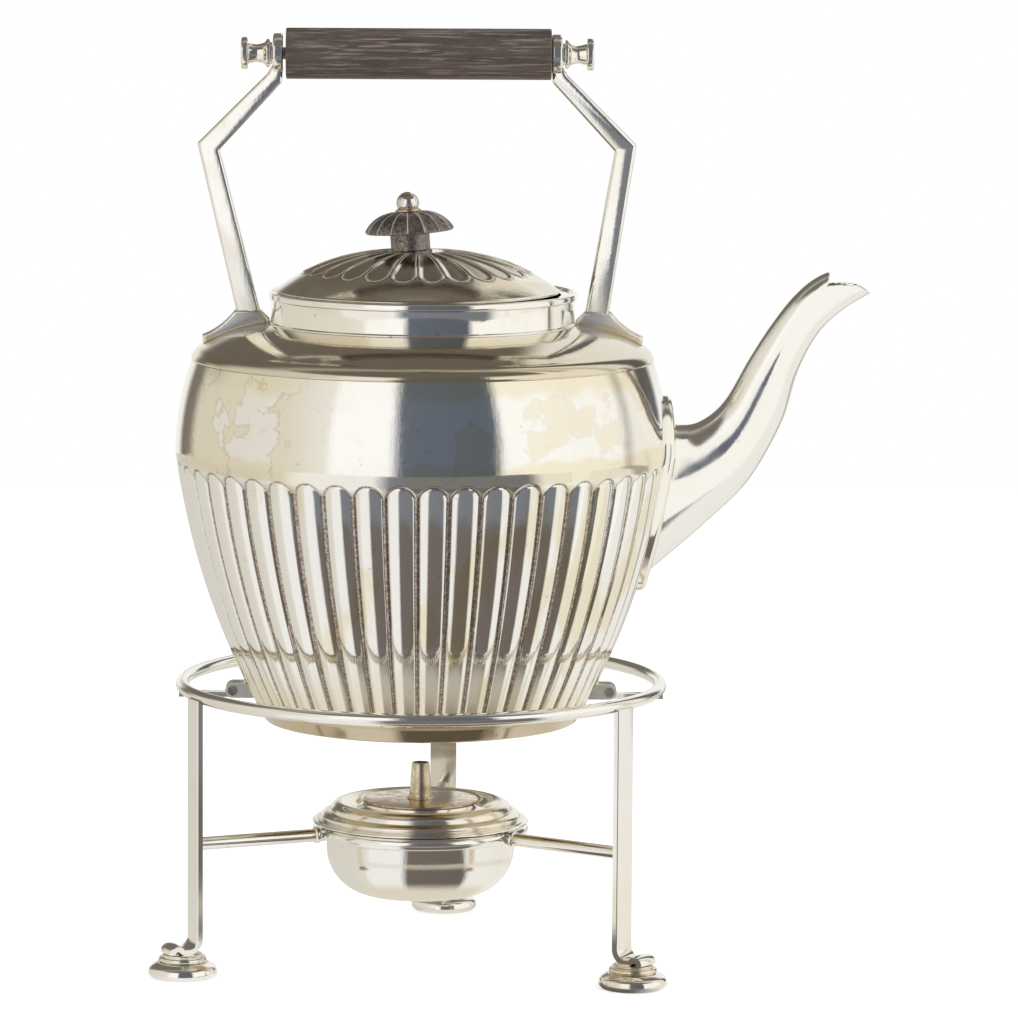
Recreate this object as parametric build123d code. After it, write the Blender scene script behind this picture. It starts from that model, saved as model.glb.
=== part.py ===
from build123d import *
from functools import cache
import math
import os

os.makedirs("parts", exist_ok=True)

# All sizes are in millimetres. Each piece is drawn about the kettle's upright axis,
# with +X along the spout, -Y at the front and the feet on Z = 0.
# The finished pieces are then moved so that the origin lies on the floor
# in the middle of the whole object.
AXIS_X = -35.5          # where the kettle's axis stands from the origin
AXIS_Y = -9.1

# Fits
SEAT_GAP = 0.3          # between pieces of different bodies that rest on each other
RUN_GAP = 0.05          # radial gap of a pin or a screw in its bore
CUT_PAST = 10.0         # how far a cutter runs past what it cuts
OVERLAP = 0.5           # how far two fused solids reach into each other

# Stand
RING_R = 96.5           # centre line of the ring's wire
RING_WIRE_R = 2.6
RING_Z = 112.4
LEG_AZIMUTHS = {"left": 204.4, "right": 324.4, "back": 84.4}
LEG_OUT = 1.9           # from the ring's centre line out to the middle of the leg's strip
LEG_W = 10.4
LEG_T = 1.8
LEG_CROWN = 0.45        # how far the strip's outer face swells
LEG_BEND_R = 4.8
SCROLL_START = 2.2      # from the foot's axis to the start of the scroll
SCROLL_RISE_R = 1.5
SCROLL_RISE_DEG = 70
SCROLL_R = 2.5
SCROLL_DEG = 150
FOOT_OFFSET = 5.6       # from the leg's middle outward to the foot's axis
FOOT_SOLE_R = 12.4
FOOT_DOME_R = 13.8
FOOT_RIM_Z = 1.6
FOOT_TOP_R = 9.2
FOOT_DOME_H = 6.0
FOOT_SWELL = 1.1
WASHER_R = 9.7
WASHER_T = 2.2
WASHER_TOP_R = 8.1
WASHER_TOP_T = 1.3

# Burner holder
HOLDER_R = 41.0
HOLDER_WIRE_R = 2.6
HOLDER_Z = 53.2
ARM_ROD_R = 2.6
ARM_BEAD_R = 3.3
ARM_BEAD_L = 2.6
ARM_BEAD_START = 3.5    # from the holder's centre line

# Cross pins, which hang the kettle in the ring
PIN_OUT = 9.4           # from the wall's foot out to both pins
PIN_DROP = 2.7          # from the ring's centre line down to both pins
PIN_R = 1.3
PIN_HEAD_R = 1.9
PIN_HEAD_T = 0.8
LUG_TIP_R = 3.0
LUG_T = 1.8
LUG_PAD_T = 1.0
LUG_SIDE_GAP = 0.4      # between a lug ear and the saddle between its ears
SADDLE_W = 6.0
SADDLE_LIP = 1.3        # metal beside the pin slot
SADDLE_FLOOR = 1.6      # metal under the pin slot
SADDLE_TOP = 0.9        # how far the lips rise above the pin's centre
BRACKET_T = 2.0

# Kettle: heights are counted from its sole
SOLE_DROP = 15.4        # from the ring's centre line down to the sole
WALL = 1.2
BODY_FOOT_R = 66.6
BODY_FOOT_H = 7.6
BODY_MAX_R = 99.2
BODY_MAX_H = 110.0
BODY_TOP_R = 92.6
BODY_TOP_H = 146.9
BODY_SWELL = 5.3        # how far the wall swells out of a straight line below its widest place
NECK_SWELL = 1.6        # the same above it
BASE_R = 62.4
BASE_H = 1.2
BASE_SOLE_R = 57.0
BASE_DISH = 0.6         # how far the middle of the base hangs below its sole
LOBE_COUNT = 48
LOBE_PHASE = -1.1       # degrees from the front to a groove, towards -X
LOBE_DEPTH = 1.7        # at the widest lobe, less where the wall is narrower
LOBE_UNDERCUT = 0.25    # how far the ground between lobes lies under their edges
LOBE_COVER = 0.12       # how far the plain wall stands over the lobes' ends
LOBE_FOOT_UP = 0.6      # from the wall's foot up to the lobes' lower ends
LOBE_TOP_DROP = 3.4     # from the widest place down to the tops of the lobes' arches
LOBE_ARCH_FOOT = 4.4    # height of the arch at the lower end
LOBE_ARCH_TOP = 6.4
LOBE_OVERRUN = 0.4      # how far the lobes are drawn past both arches
LOBE_SECTION_COUNT = 9
GROUND_WALL = 0.9       # thickness of the wall under the grooves

# Shoulder and collar: heights are counted from the top of the wall
CREASE_DEPTH = 0.7      # groove between the wall and the shoulder
CREASE_H = 0.9
SHOULDER_EDGE_OUT = 0.3
SHOULDER_EDGE_H = 1.5
SHOULDER_EDGE_SWELL = 0.95
SHOULDER_TURN_IN = 4.0
SHOULDER_TURN_H = 5.5
SHOULDER_SWELL = 0.5
SHOULDER_IN_H = 11.1
SHOULDER_LAP = 2.0      # how far the shoulder reaches under the collar
COLLAR_R = 61.0
COLLAR_WALL = 1.0
COLLAR_CREASE_H = 14.8
FLARE_OUT = 5.2
FLARE_FOOT_H = 10.1
FLARE_HOLLOW = 0.45
RIM_OUT = 0.9
RIM_H = 2.8
RIM_TOP_H = 27.4
LEDGE_IN_R = 55.4
LEDGE_DROP = 0.9
LEDGE_T = 1.0

# Spout: upper and lower outline points and the width across. The points are
# counted outward from the wall's widest radius and upward from the sole
SPOUT_WALL = 1.0
SPOUT_STATIONS = [
    ((-9.2, 124.0), (-23.2, 49.0), 33.0),
    ((5.3, 121.0), (-6.7, 62.5), 30.0),
    ((13.8, 123.2), (14.3, 80.8), 25.5),
    ((22.3, 131.0), (31.8, 98.3), 21.5),
    ((31.8, 147.6), (45.4, 122.4), 18.0),
    ((40.0, 160.6), (51.8, 143.2), 15.8),
    ((49.2, 172.6), (59.6, 158.2), 14.4),
    ((59.3, 181.0), (69.4, 167.8), 13.6),
    ((73.8, 186.5), (82.3, 175.4), 12.6),
]
# Mouth edge from the beak over the notch to the tip of the lip, counted the same way
MOUTH_EDGE = [(63.8, 182.8), (63.0, 178.0), (69.3, 178.3), (75.4, 177.6), (81.0, 174.4)]
MOUTH_CLEAR = 30.0      # how far the mouth's cutter reaches past the spout
ROOT_H = 93.1           # middle of the oval plate and of the opening behind it
STRAINER_HIGH = 52.0    # opening in the wall behind the spout
STRAINER_WIDE = 22.0
PLATE_T = 3.2
PLATE_HIGH = 79.0
PLATE_WIDE = 40.0

# Handle: it leans a little to the left. Heights are counted from the top of the wall
HANDLE_LEAN = -2.6
ROOT_OUT = 8.7          # from the collar out to the middle of the upright's root
ROOT_TOP_H = 19.5
ELBOW_OUT = 22.4
ELBOW_H = 85.3
BAR_TOP_X = 57.0
BAR_TOP_H = 112.7
BAR_END_DROP = 4.8      # the bar ends this far under the eye's middle
BAR_W_LOW = 9.4
BAR_W_ELBOW = 8.2
BAR_W_HIGH = 6.6
BAR_D = 6.4
BAR_BEVEL = 1.6
TOE_OUT = 27.2
TOE_TIP_H = 9.3
TOE_MID_OUT = 20.0
TOE_MID_H = 15.0
TOE_ARCH_OUT = 16.0
TOE_ARCH_H = 9.1
TOE_IN_LOW_H = 13.9
TOE_IN_TOP_H = 17.5
TOE_D = 7.6
EYE_X = 55.7
EYE_H = 122.5
EYE_R = 8.0
EYE_T = 4.0
ROD_R = 2.4
GRIP_R = 10.2
GRIP_END_GAP_LEFT = 1.2
GRIP_END_GAP_RIGHT = 0.2
GRIP_CHAMFER = 0.6
FINIAL_L = 12.4
FINIAL_FOOT_R = 4.4
FINIAL_FOOT_T = 0.9
FINIAL_FLARE_R = 5.7
FINIAL_FLARE_T = 1.2
FINIAL_WAIST_R = 3.4
FINIAL_WAIST_H = 6.3
FINIAL_NECK_R = 4.3
FINIAL_DISC_R = 6.4
FINIAL_DISC_T = 2.7
FINIAL_BORE_L = 9.0

# Lid, set a little to the left in the collar
LID_SHIFT = 2.2
LID_SIDE_GAP = 0.8
LID_EDGE_T = 1.2
LID_MID_R = 44.5
LID_MID_RISE = 7.6
LID_TOP_R = 9.5
LID_RISE = 15.6
LID_WALL = 1.0
PETAL_COUNT = 24
PETAL_DEPTH = 0.45
PETAL_IN_R = 12.0
PETAL_END_R = 45.8
PETAL_RIB = 0.9         # metal left between two petals
BEZEL_SIDE_GAP = 0.6
BEZEL_WALL = 1.0
BEZEL_DEPTH = 7.0
KNOB_SHIFT = 4.2
KNOB_LEAN = -4.0        # degrees, towards the spout is positive
STEM_R = 7.9
STEM_H = 6.2
STEM_ROOT = 1.0         # how far the stem is drawn down into the lid
FLUTE_COUNT = 16
FLUTE_DEPTH = 0.7       # at the cap's rim, less towards its crown
FLUTE_PHASE = -2.0      # degrees from the front to a ridge
CAP_OUTLINE = [(17.2, 0.0), (17.8, 1.0), (16.6, 3.2), (13.4, 5.4), (9.3, 6.9), (5.9, 8.0)]
CAP_H = 8.3
KNOB_WASHER_R = 5.1
KNOB_WASHER_T = 0.8
BALL_R = 4.6
BALL_FLAT = 0.7         # cut off the ball's underside

# Burner: heights of the bowl are counted down from the holder
BOWL_GAP = 0.4          # between the bowl and the holder's wire
BOWL_WALL = 1.0
BOWL_SIDE_DROP = 8.2
BOWL_SOLE_R = 14.0
BOWL_SOLE_DROP = 28.4
BOWL_SWELL = 6.5
FLANGE_OUT = 2.8        # from the holder's centre line
FLANGE_T = 0.8
COVER_INSET = 1.4       # from the flange's edge
COVER_BASE_T = 0.6
COVER_LOW_R = 39.3
COVER_LOW_TOP_R = 37.2
COVER_LOW_H = 3.0
COVER_LOW_SWELL = 1.5
COVER_HIGH_R = 36.6
COVER_NECK_R = 26.2
COVER_NECK_H = 1.4
COVER_HIGH_SWELL = 2.3
COVER_LIP_R = 22.9
COVER_LIP_H = 2.0
COVER_LIP_HOLLOW = 0.8
COVER_HOLE_R = 21.4
COVER_WALL = 1.0
WICK_PLATE_OVER = 0.4   # how far the wick plate stands over the cover's lip
WICK_PLATE_T = 1.0
PLUG_GAP = 0.5
PLUG_H = 6.0
TUBE_FOOT_R = 4.5
TUBE_TOP_R = 3.6
TUBE_H = 14.8
TUBE_BORE_R = 2.9
TUBE_BEAD_R = 5.3
TUBE_BEAD_H = 0.8
WICK_GAP = 0.2
WICK_BELOW_TOP = 1.0
WICK_OVER_SOLE = 5.2

# Places worked out from the sizes above
LEG_R = RING_R + LEG_OUT
FOOT_R = LEG_R + FOOT_OFFSET
WASHER_TOP_Z = FOOT_DOME_H + WASHER_T + WASHER_TOP_T
PIN_X = BODY_FOOT_R + PIN_OUT
PIN_Z = RING_Z - PIN_DROP
LUG_IN_Y = SADDLE_W / 2 + LUG_SIDE_GAP
LUG_OUT_Y = LUG_IN_Y + LUG_T
SOLE_Z = RING_Z - SOLE_DROP
BODY_FOOT = (BODY_FOOT_R, SOLE_Z + BODY_FOOT_H)
BODY_WIDEST = (BODY_MAX_R, SOLE_Z + BODY_MAX_H)
BODY_TOP = (BODY_TOP_R, SOLE_Z + BODY_TOP_H)
FOOT_Z, TOP_Z = BODY_FOOT[1], BODY_TOP[1]
LOBE_FOOT_Z = FOOT_Z + LOBE_FOOT_UP
LOBE_TOP_Z = BODY_WIDEST[1] - LOBE_TOP_DROP
SHOULDER_EDGE = (BODY_TOP_R + SHOULDER_EDGE_OUT, TOP_Z + SHOULDER_EDGE_H)
SHOULDER_TURN = (BODY_TOP_R - SHOULDER_TURN_IN, TOP_Z + SHOULDER_TURN_H)
SHOULDER_IN = (COLLAR_R - SHOULDER_LAP, TOP_Z + SHOULDER_IN_H)
RIM_TOP_Z = TOP_Z + RIM_TOP_H
LEDGE_TOP_Z = RIM_TOP_Z - LEDGE_DROP
ROOT_Z = SOLE_Z + ROOT_H
EYE_Z = TOP_Z + EYE_H
LID_R = COLLAR_R - COLLAR_WALL - LID_SHIFT - LID_SIDE_GAP
LID_Z = LEDGE_TOP_Z + SEAT_GAP
LID_TOP_Z = LID_Z + LID_EDGE_T + LID_RISE
BEZEL_R = LEDGE_IN_R - LID_SHIFT - BEZEL_SIDE_GAP
FLANGE_Z = HOLDER_Z + HOLDER_WIRE_R + SEAT_GAP
FLANGE_R = HOLDER_R + FLANGE_OUT
BOWL_R = HOLDER_R - HOLDER_WIRE_R - BOWL_GAP
COVER_Z = FLANGE_Z + FLANGE_T
COVER_TOP_Z = COVER_Z + COVER_BASE_T + COVER_LOW_H + COVER_NECK_H + COVER_LIP_H
WICK_PLATE_Z = COVER_TOP_Z + SEAT_GAP


# Drawing helpers: outlines are drawn as (x, z) pairs and stood up in the XZ plane
def standing(*edges):
    return Plane.XZ * make_face(list(edges))


def turned(*edges):
    """Revolve a closed outline about Z."""
    return revolve(standing(*edges), axis=Axis.Z)


def slab(depth, *edges):
    """Extrude a closed outline to both sides of the XZ plane."""
    return extrude(standing(*edges), depth / 2, both=True)


def bowed(start, end, swell):
    """Arc that swells to the right of the way from start to end."""
    start, end = Vector(*start), Vector(*end)
    along = (end - start).normalized()
    middle = (start + end) / 2 + Vector(along.Y, -along.X) * swell
    return ThreePointArc(start, middle, end)


def moved(point, right=0.0, up=0.0):
    return (point[0] + right, point[1] + up)


def disc(radius, z_low, height):
    return Pos(0, 0, z_low) * Cylinder(radius, height, align=(Align.CENTER, Align.CENTER, Align.MIN))


def tube(r_out, r_in, z_low, height):
    return disc(r_out, z_low, height) - disc(r_in, z_low, height)


def rod_x(radius, x_low, x_high, z):
    """Round rod along X."""
    middle = Pos((x_low + x_high) / 2, 0, z) * Rot(0, 90, 0)
    return middle * Cylinder(radius, x_high - x_low)


def rod_y(radius, length, x, z):
    """Round rod along Y, centred on the XZ plane."""
    return Pos(x, 0, z) * Rot(90, 0, 0) * Cylinder(radius, length)


def tapered_bar(points, widths):
    """Closed outline of a bar about a bent centre line, mitred at its corners."""
    points = [Vector(*p) for p in points]
    left, right = [], []
    for i, (point, width) in enumerate(zip(points, widths)):
        runs = [(points[j + 1] - points[j]).normalized() for j in (i - 1, i) if 0 <= j < len(points) - 1]
        mean = sum(runs[1:], runs[0]).normalized()
        reach = width / 2 / mean.dot(runs[0])
        side = Vector(-mean.Y, mean.X) * reach
        left.append(point + side)
        right.append(point - side)
    return Polyline(*left, *reversed(right), close=True)


# Stand
def stand_ring():
    return Pos(0, 0, RING_Z) * Torus(RING_R, RING_WIRE_R)


def leg_path():
    strip_z = WASHER_TOP_Z + LEG_T / 2
    down = Line((LEG_R, RING_Z - RING_WIRE_R / 3), (LEG_R, strip_z + LEG_BEND_R))
    bend = JernArc(down @ 1, (0, -1), LEG_BEND_R, 90)
    flat = Line(bend @ 1, (FOOT_R + SCROLL_START, strip_z))
    rise = JernArc(flat @ 1, (1, 0), SCROLL_RISE_R, SCROLL_RISE_DEG)
    scroll = JernArc(rise @ 1, rise % 1, SCROLL_R, -SCROLL_DEG)
    return Wire([down, bend, flat, rise, scroll])


def leg():
    """Flat strip with a swelled outer face, bent out over the foot and ending in a scroll."""
    path = leg_path()
    half_w, half_t = LEG_W / 2, LEG_T / 2
    back = Polyline((-half_w, -half_t), (-half_w, half_t), (half_w, half_t), (half_w, -half_t))
    front = ThreePointArc((half_w, -half_t), (0, -half_t - LEG_CROWN), (-half_w, -half_t))
    start = Plane(origin=path @ 0, x_dir=(0, 0, 1), z_dir=path % 0)
    strip = sweep(start * make_face([back, front]), path=path)
    return Plane.XZ * strip - stand_ring()


def foot_dome():
    rim, top = (FOOT_DOME_R, FOOT_RIM_Z), (FOOT_TOP_R, FOOT_DOME_H)
    return turned(
        Polyline((0, 0), (FOOT_SOLE_R, 0), rim),
        bowed(rim, top, FOOT_SWELL),
        Polyline(top, (0, FOOT_DOME_H), (0, 0)),
    )


def foot_washer():
    lower = disc(WASHER_R, FOOT_DOME_H, WASHER_T)
    return lower + disc(WASHER_TOP_R, FOOT_DOME_H + WASHER_T, WASHER_TOP_T)


def burner_ring():
    return Pos(0, 0, HOLDER_Z) * Torus(HOLDER_R, HOLDER_WIRE_R)


def burner_arm():
    rod = rod_x(ARM_ROD_R, HOLDER_R, LEG_R - LEG_T / 2, HOLDER_Z)
    bead_start = HOLDER_R + ARM_BEAD_START
    return rod + rod_x(ARM_BEAD_R, bead_start, bead_start + ARM_BEAD_L, HOLDER_Z) - burner_ring()


def saddle_bracket():
    """Bar from the ring's underside to an open cradle for a cross pin."""
    slot_r = PIN_R + RUN_GAP
    floor = PIN_Z - slot_r - SADDLE_FLOOR
    lip_z = PIN_Z + SADDLE_TOP
    left, right = PIN_X - slot_r - SADDLE_LIP, PIN_X + slot_r + SADDLE_LIP
    pad_in, pad_out = RING_R - RING_WIRE_R, RING_R + RING_WIRE_R / 2
    outline = Polyline(
        (left, floor), (pad_out, floor), (pad_out, RING_Z), (pad_in, RING_Z), (pad_in, floor + BRACKET_T),
        (right, floor + BRACKET_T), (right, lip_z), (left, lip_z), close=True,
    )
    slot = rod_y(slot_r, SADDLE_W + CUT_PAST, PIN_X, PIN_Z)
    slot += Pos(PIN_X, 0, PIN_Z + CUT_PAST / 2) * Box(2 * slot_r, SADDLE_W + CUT_PAST, CUT_PAST)
    return slab(SADDLE_W, outline) - slot - stand_ring()


# Kettle
def wall_r(z):
    """Outer radius of the lower wall, over the crests of the lobes."""
    arc = bowed(BODY_FOOT, BODY_WIDEST, BODY_SWELL)
    return arc.arc_center.X + math.sqrt(arc.radius**2 - (z - arc.arc_center.Y)**2)


def groove_r(z):
    """Radius where two lobes meet."""
    return wall_r(z) * (1 - LOBE_DEPTH / BODY_MAX_R)


def body_form(extra=0.0):
    """Filled form of the kettle's wall without its lobes, grown outward by extra."""
    foot, widest, top = [moved(point, extra) for point in (BODY_FOOT, BODY_WIDEST, BODY_TOP)]
    return turned(
        bowed(foot, widest, BODY_SWELL),
        bowed(widest, top, NECK_SWELL),
        Polyline(top, (0, TOP_Z), (0, FOOT_Z), foot),
    )


def scalloped(outer, mid_arc, z, count, phase):
    """Face bounded by count equal arcs, whose ends lie at radius outer and whose middles lie at mid_arc."""
    def at(radius, index):
        angle = math.radians(phase - 90 + 360 * index / count)
        return (radius * math.cos(angle), radius * math.sin(angle), z)
    arcs = [ThreePointArc(at(outer, i), at(mid_arc, i + 0.5), at(outer, i + 1)) for i in range(count)]
    return Face(Wire(arcs))


def lobed_form():
    low, high = LOBE_FOOT_Z - LOBE_OVERRUN, LOBE_TOP_Z + LOBE_OVERRUN
    step = (high - low) / (LOBE_SECTION_COUNT - 1)
    levels = [low + step * i for i in range(LOBE_SECTION_COUNT)]
    return loft([scalloped(groove_r(z), wall_r(z), z, LOBE_COUNT, LOBE_PHASE) for z in levels])


def ground_form():
    """Wall between and above the lobes. It rises over their ends, which makes the arches."""
    def ground(z):
        return (groove_r(z) - LOBE_UNDERCUT, z)
    arch_top, arch_foot = ground(LOBE_TOP_Z - LOBE_ARCH_TOP), ground(LOBE_FOOT_Z + LOBE_ARCH_FOOT)
    over_top = (wall_r(LOBE_TOP_Z) + LOBE_COVER, LOBE_TOP_Z)
    over_foot = (wall_r(LOBE_FOOT_Z) + LOBE_COVER, LOBE_FOOT_Z)
    widest, foot = moved(BODY_WIDEST, LOBE_COVER), moved(BODY_FOOT, LOBE_COVER)
    return turned(
        Line(foot, over_foot),
        Bezier(over_foot, ground(LOBE_FOOT_Z + LOBE_ARCH_FOOT / 2), arch_foot),
        ThreePointArc(arch_foot, ground((arch_foot[1] + arch_top[1]) / 2), arch_top),
        Bezier(arch_top, ground(LOBE_TOP_Z - LOBE_ARCH_TOP / 2), over_top),
        Line(over_top, widest),
        bowed(widest, BODY_TOP, NECK_SWELL),
        Polyline(BODY_TOP, (0, TOP_Z), (0, FOOT_Z), foot),
    )


def body_hollow():
    """Inside of the wall, which runs smoothly behind the grooves."""
    def inside(z):
        return (groove_r(z) - LOBE_UNDERCUT - GROUND_WALL, z)
    arch_z = LOBE_TOP_Z - LOBE_ARCH_TOP
    foot, arch = inside(FOOT_Z), inside(arch_z)
    widest, top = moved(BODY_WIDEST, -WALL), moved(BODY_TOP, -WALL)
    return turned(
        ThreePointArc(foot, inside((FOOT_Z + arch_z) / 2), arch),
        Line(arch, widest),
        bowed(widest, top, NECK_SWELL),
        Polyline(top, (0, TOP_Z), (0, FOOT_Z), foot),
    )


@cache
def wall_form():
    """Filled form of the finished wall, which other pieces are seated on."""
    return ground_form() + lobed_form()


def out_through_wall(outline):
    """Run an outline, drawn upright, from the kettle's axis out along the spout."""
    return Pos(0, 0, ROOT_Z) * Rot(0, 90, 0) * extrude(outline, BODY_MAX_R + CUT_PAST)


def kettle_body():
    strainer = out_through_wall(Ellipse(STRAINER_HIGH / 2, STRAINER_WIDE / 2))
    return wall_form() - body_hollow() - strainer


def kettle_base():
    foot_in = moved(BODY_FOOT, -WALL)
    sole, sole_mid = (BASE_SOLE_R, SOLE_Z), (0, SOLE_Z - BASE_DISH)
    edge = (BASE_R, SOLE_Z + BASE_H)
    return turned(
        Polyline(
            BODY_FOOT, edge, sole, sole_mid, moved(sole_mid, up=WALL), moved(sole, -WALL / 2, WALL),
            moved(edge, -WALL, WALL / 2), foot_in, close=True,
        )
    )


def shoulder_skin(drop):
    """Outer line of the shoulder from its edge to its inner rim, lowered by drop."""
    edge = moved(SHOULDER_EDGE, -drop)
    turn = moved(SHOULDER_TURN, -drop / 2, -drop)
    inner = moved(SHOULDER_IN, up=-drop)
    return [bowed(edge, turn, SHOULDER_EDGE_SWELL), bowed(turn, inner, SHOULDER_SWELL)]


def kettle_shoulder():
    inside = moved(BODY_TOP, -WALL)
    return turned(
        Polyline(inside, moved(BODY_TOP, -CREASE_DEPTH), (SHOULDER_EDGE[0], TOP_Z + CREASE_H), SHOULDER_EDGE),
        *shoulder_skin(0),
        Line(SHOULDER_IN, moved(SHOULDER_IN, up=-WALL)),
        *shoulder_skin(WALL),
        Line(moved(SHOULDER_EDGE, -WALL), inside),
    )


def shoulder_form():
    """Everything under the shoulder's outer skin, used to seat pieces on it."""
    low = TOP_Z - CUT_PAST
    return turned(
        Polyline((0, low), (SHOULDER_EDGE[0], low), SHOULDER_EDGE),
        *shoulder_skin(0),
        Polyline(SHOULDER_IN, (0, SHOULDER_IN[1]), (0, low)),
    )


def collar_form():
    """Outer form of the collar with its flared foot, filled inside."""
    flare, crease = (COLLAR_R + FLARE_OUT, TOP_Z + FLARE_FOOT_H), (COLLAR_R, TOP_Z + COLLAR_CREASE_H)
    rim_r, rim_low = COLLAR_R + RIM_OUT, RIM_TOP_Z - RIM_H
    return turned(
        Polyline((0, TOP_Z), (flare[0], TOP_Z), flare),
        bowed(flare, crease, -FLARE_HOLLOW),
        Polyline(crease, (COLLAR_R, rim_low), (rim_r, rim_low + RIM_OUT / 2), (rim_r, RIM_TOP_Z - RIM_OUT),
                 (COLLAR_R, RIM_TOP_Z), (0, RIM_TOP_Z), (0, TOP_Z)),
    )


def kettle_collar():
    inner_r = COLLAR_R - COLLAR_WALL
    bored = collar_form() - shoulder_form() - disc(inner_r, 0, RIM_TOP_Z + CUT_PAST)
    return bored + tube(inner_r, LEDGE_IN_R, LEDGE_TOP_Z - LEDGE_T, LEDGE_T)


def at_spout(point):
    """A point of the spout's outline, counted from the wall's widest radius and the sole."""
    return moved(point, BODY_MAX_R, SOLE_Z)


def spout_form(wall=0.0):
    """Loft through ellipses between the upper and lower outline, thinned by wall."""
    sections = []
    for upper, lower, width in SPOUT_STATIONS:
        up, down = [Vector(x, 0, z) for x, z in (at_spout(upper), at_spout(lower))]
        across = Vector(0, 1, 0)
        plane = Plane(origin=(up + down) / 2, x_dir=across, z_dir=across.cross(up - down))
        sections.append(plane * Ellipse(width / 2 - wall, (up - down).length / 2 - wall))
    return loft(sections)


def mouth_cutter():
    edge = [at_spout(point) for point in MOUTH_EDGE]
    beak, tip = edge[0], edge[-1]
    outline = Polyline(*edge, moved(tip, MOUTH_CLEAR), (tip[0] + MOUTH_CLEAR, beak[1] + MOUTH_CLEAR),
                       moved(beak, up=MOUTH_CLEAR), close=True)
    return slab(MOUTH_CLEAR, outline)


def spout():
    return spout_form() - spout_form(SPOUT_WALL) - mouth_cutter() - wall_form()


def spout_plate():
    """Oval plate that follows the wall round the spout's root."""
    oval = out_through_wall(Ellipse(PLATE_HIGH / 2, PLATE_WIDE / 2))
    return (body_form(PLATE_T) & oval) - wall_form() - spout_form()


def cross_lug():
    """Two ears on a soldered pad, bored for the cross pin."""
    outer_y, inner_y = 2 * LUG_OUT_Y, 2 * LUG_IN_Y
    root_x = BODY_FOOT_R - WALL
    bar = Pos((root_x + PIN_X) / 2, 0, PIN_Z) * Box(PIN_X - root_x, outer_y, 2 * LUG_TIP_R)
    ears = bar + rod_y(LUG_TIP_R, outer_y, PIN_X, PIN_Z)
    pad = (body_form(LUG_PAD_T) & bar) - wall_form()
    gap = Pos(PIN_X, 0, PIN_Z) * Box(2 * PIN_X, inner_y, 4 * LUG_TIP_R)
    bore = rod_y(PIN_R + RUN_GAP, outer_y + CUT_PAST, PIN_X, PIN_Z)
    return ears - gap - wall_form() + pad - bore


def cross_pin():
    shank = rod_y(PIN_R, 2 * (LUG_OUT_Y + RUN_GAP), PIN_X, PIN_Z)
    head_y = LUG_OUT_Y + RUN_GAP + PIN_HEAD_T / 2
    heads = [Pos(0, side * head_y, 0) * rod_y(PIN_HEAD_R, PIN_HEAD_T, PIN_X, PIN_Z) for side in (-1, 1)]
    return shank + heads


# Handle
def eye_x(side):
    return side * EYE_X + HANDLE_LEAN


def upright(side):
    """Bent bevelled bar from the shoulder to the eye, with its foot on the shoulder and collar."""
    def at(out, height, lean=0.0):
        return (side * (COLLAR_R + out) + lean, TOP_Z + height)
    centre = [
        at(ROOT_OUT, ROOT_TOP_H), at(ELBOW_OUT, ELBOW_H, HANDLE_LEAN),
        (side * BAR_TOP_X + HANDLE_LEAN, TOP_Z + BAR_TOP_H), (eye_x(side), EYE_Z - BAR_END_DROP),
    ]
    bar = slab(BAR_D, tapered_bar(centre, [BAR_W_LOW, BAR_W_ELBOW, BAR_W_HIGH, EYE_T]))
    bar = chamfer(bar.faces().filter_by(Axis.Y).edges(), BAR_BEVEL)
    root_in, root_out = at(ROOT_OUT - BAR_W_LOW / 2, ROOT_TOP_H), at(ROOT_OUT + BAR_W_LOW / 2, ROOT_TOP_H)
    toe, arch = at(TOE_OUT, TOE_TIP_H), at(TOE_ARCH_OUT, TOE_ARCH_H)
    heel_top, heel_low = at(0, TOE_IN_TOP_H), at(0, TOE_IN_LOW_H)
    foot = slab(
        TOE_D,
        Line(root_in, root_out),
        ThreePointArc(root_out, at(TOE_MID_OUT, TOE_MID_H), toe),
        Polyline(toe, at(TOE_OUT, SHOULDER_EDGE_H), at(TOE_ARCH_OUT, SHOULDER_EDGE_H), arch),
        ThreePointArc(arch, at(ROOT_OUT, TOE_IN_LOW_H), heel_low),
        Polyline(heel_low, heel_top, root_in),
    )
    eye = rod_x(EYE_R, eye_x(side) - EYE_T / 2, eye_x(side) + EYE_T / 2, EYE_Z)
    bore = rod_x(ROD_R + RUN_GAP, eye_x(side) - EYE_T, eye_x(side) + EYE_T, EYE_Z)
    return bar + foot + eye - bore - shoulder_form() - collar_form()


def grip_rod():
    reach = EYE_X + EYE_T / 2 + FINIAL_BORE_L - 2 * SEAT_GAP
    return rod_x(ROD_R, HANDLE_LEAN - reach, HANDLE_LEAN + reach, EYE_Z)


def grip():
    low = eye_x(-1) + EYE_T / 2 + GRIP_END_GAP_LEFT
    high = eye_x(1) - EYE_T / 2 - GRIP_END_GAP_RIGHT
    wood = rod_x(GRIP_R, low, high, EYE_Z)
    wood = chamfer(wood.edges(), GRIP_CHAMFER)
    return wood - rod_x(ROD_R + RUN_GAP, low - CUT_PAST, high + CUT_PAST, EYE_Z)


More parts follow.
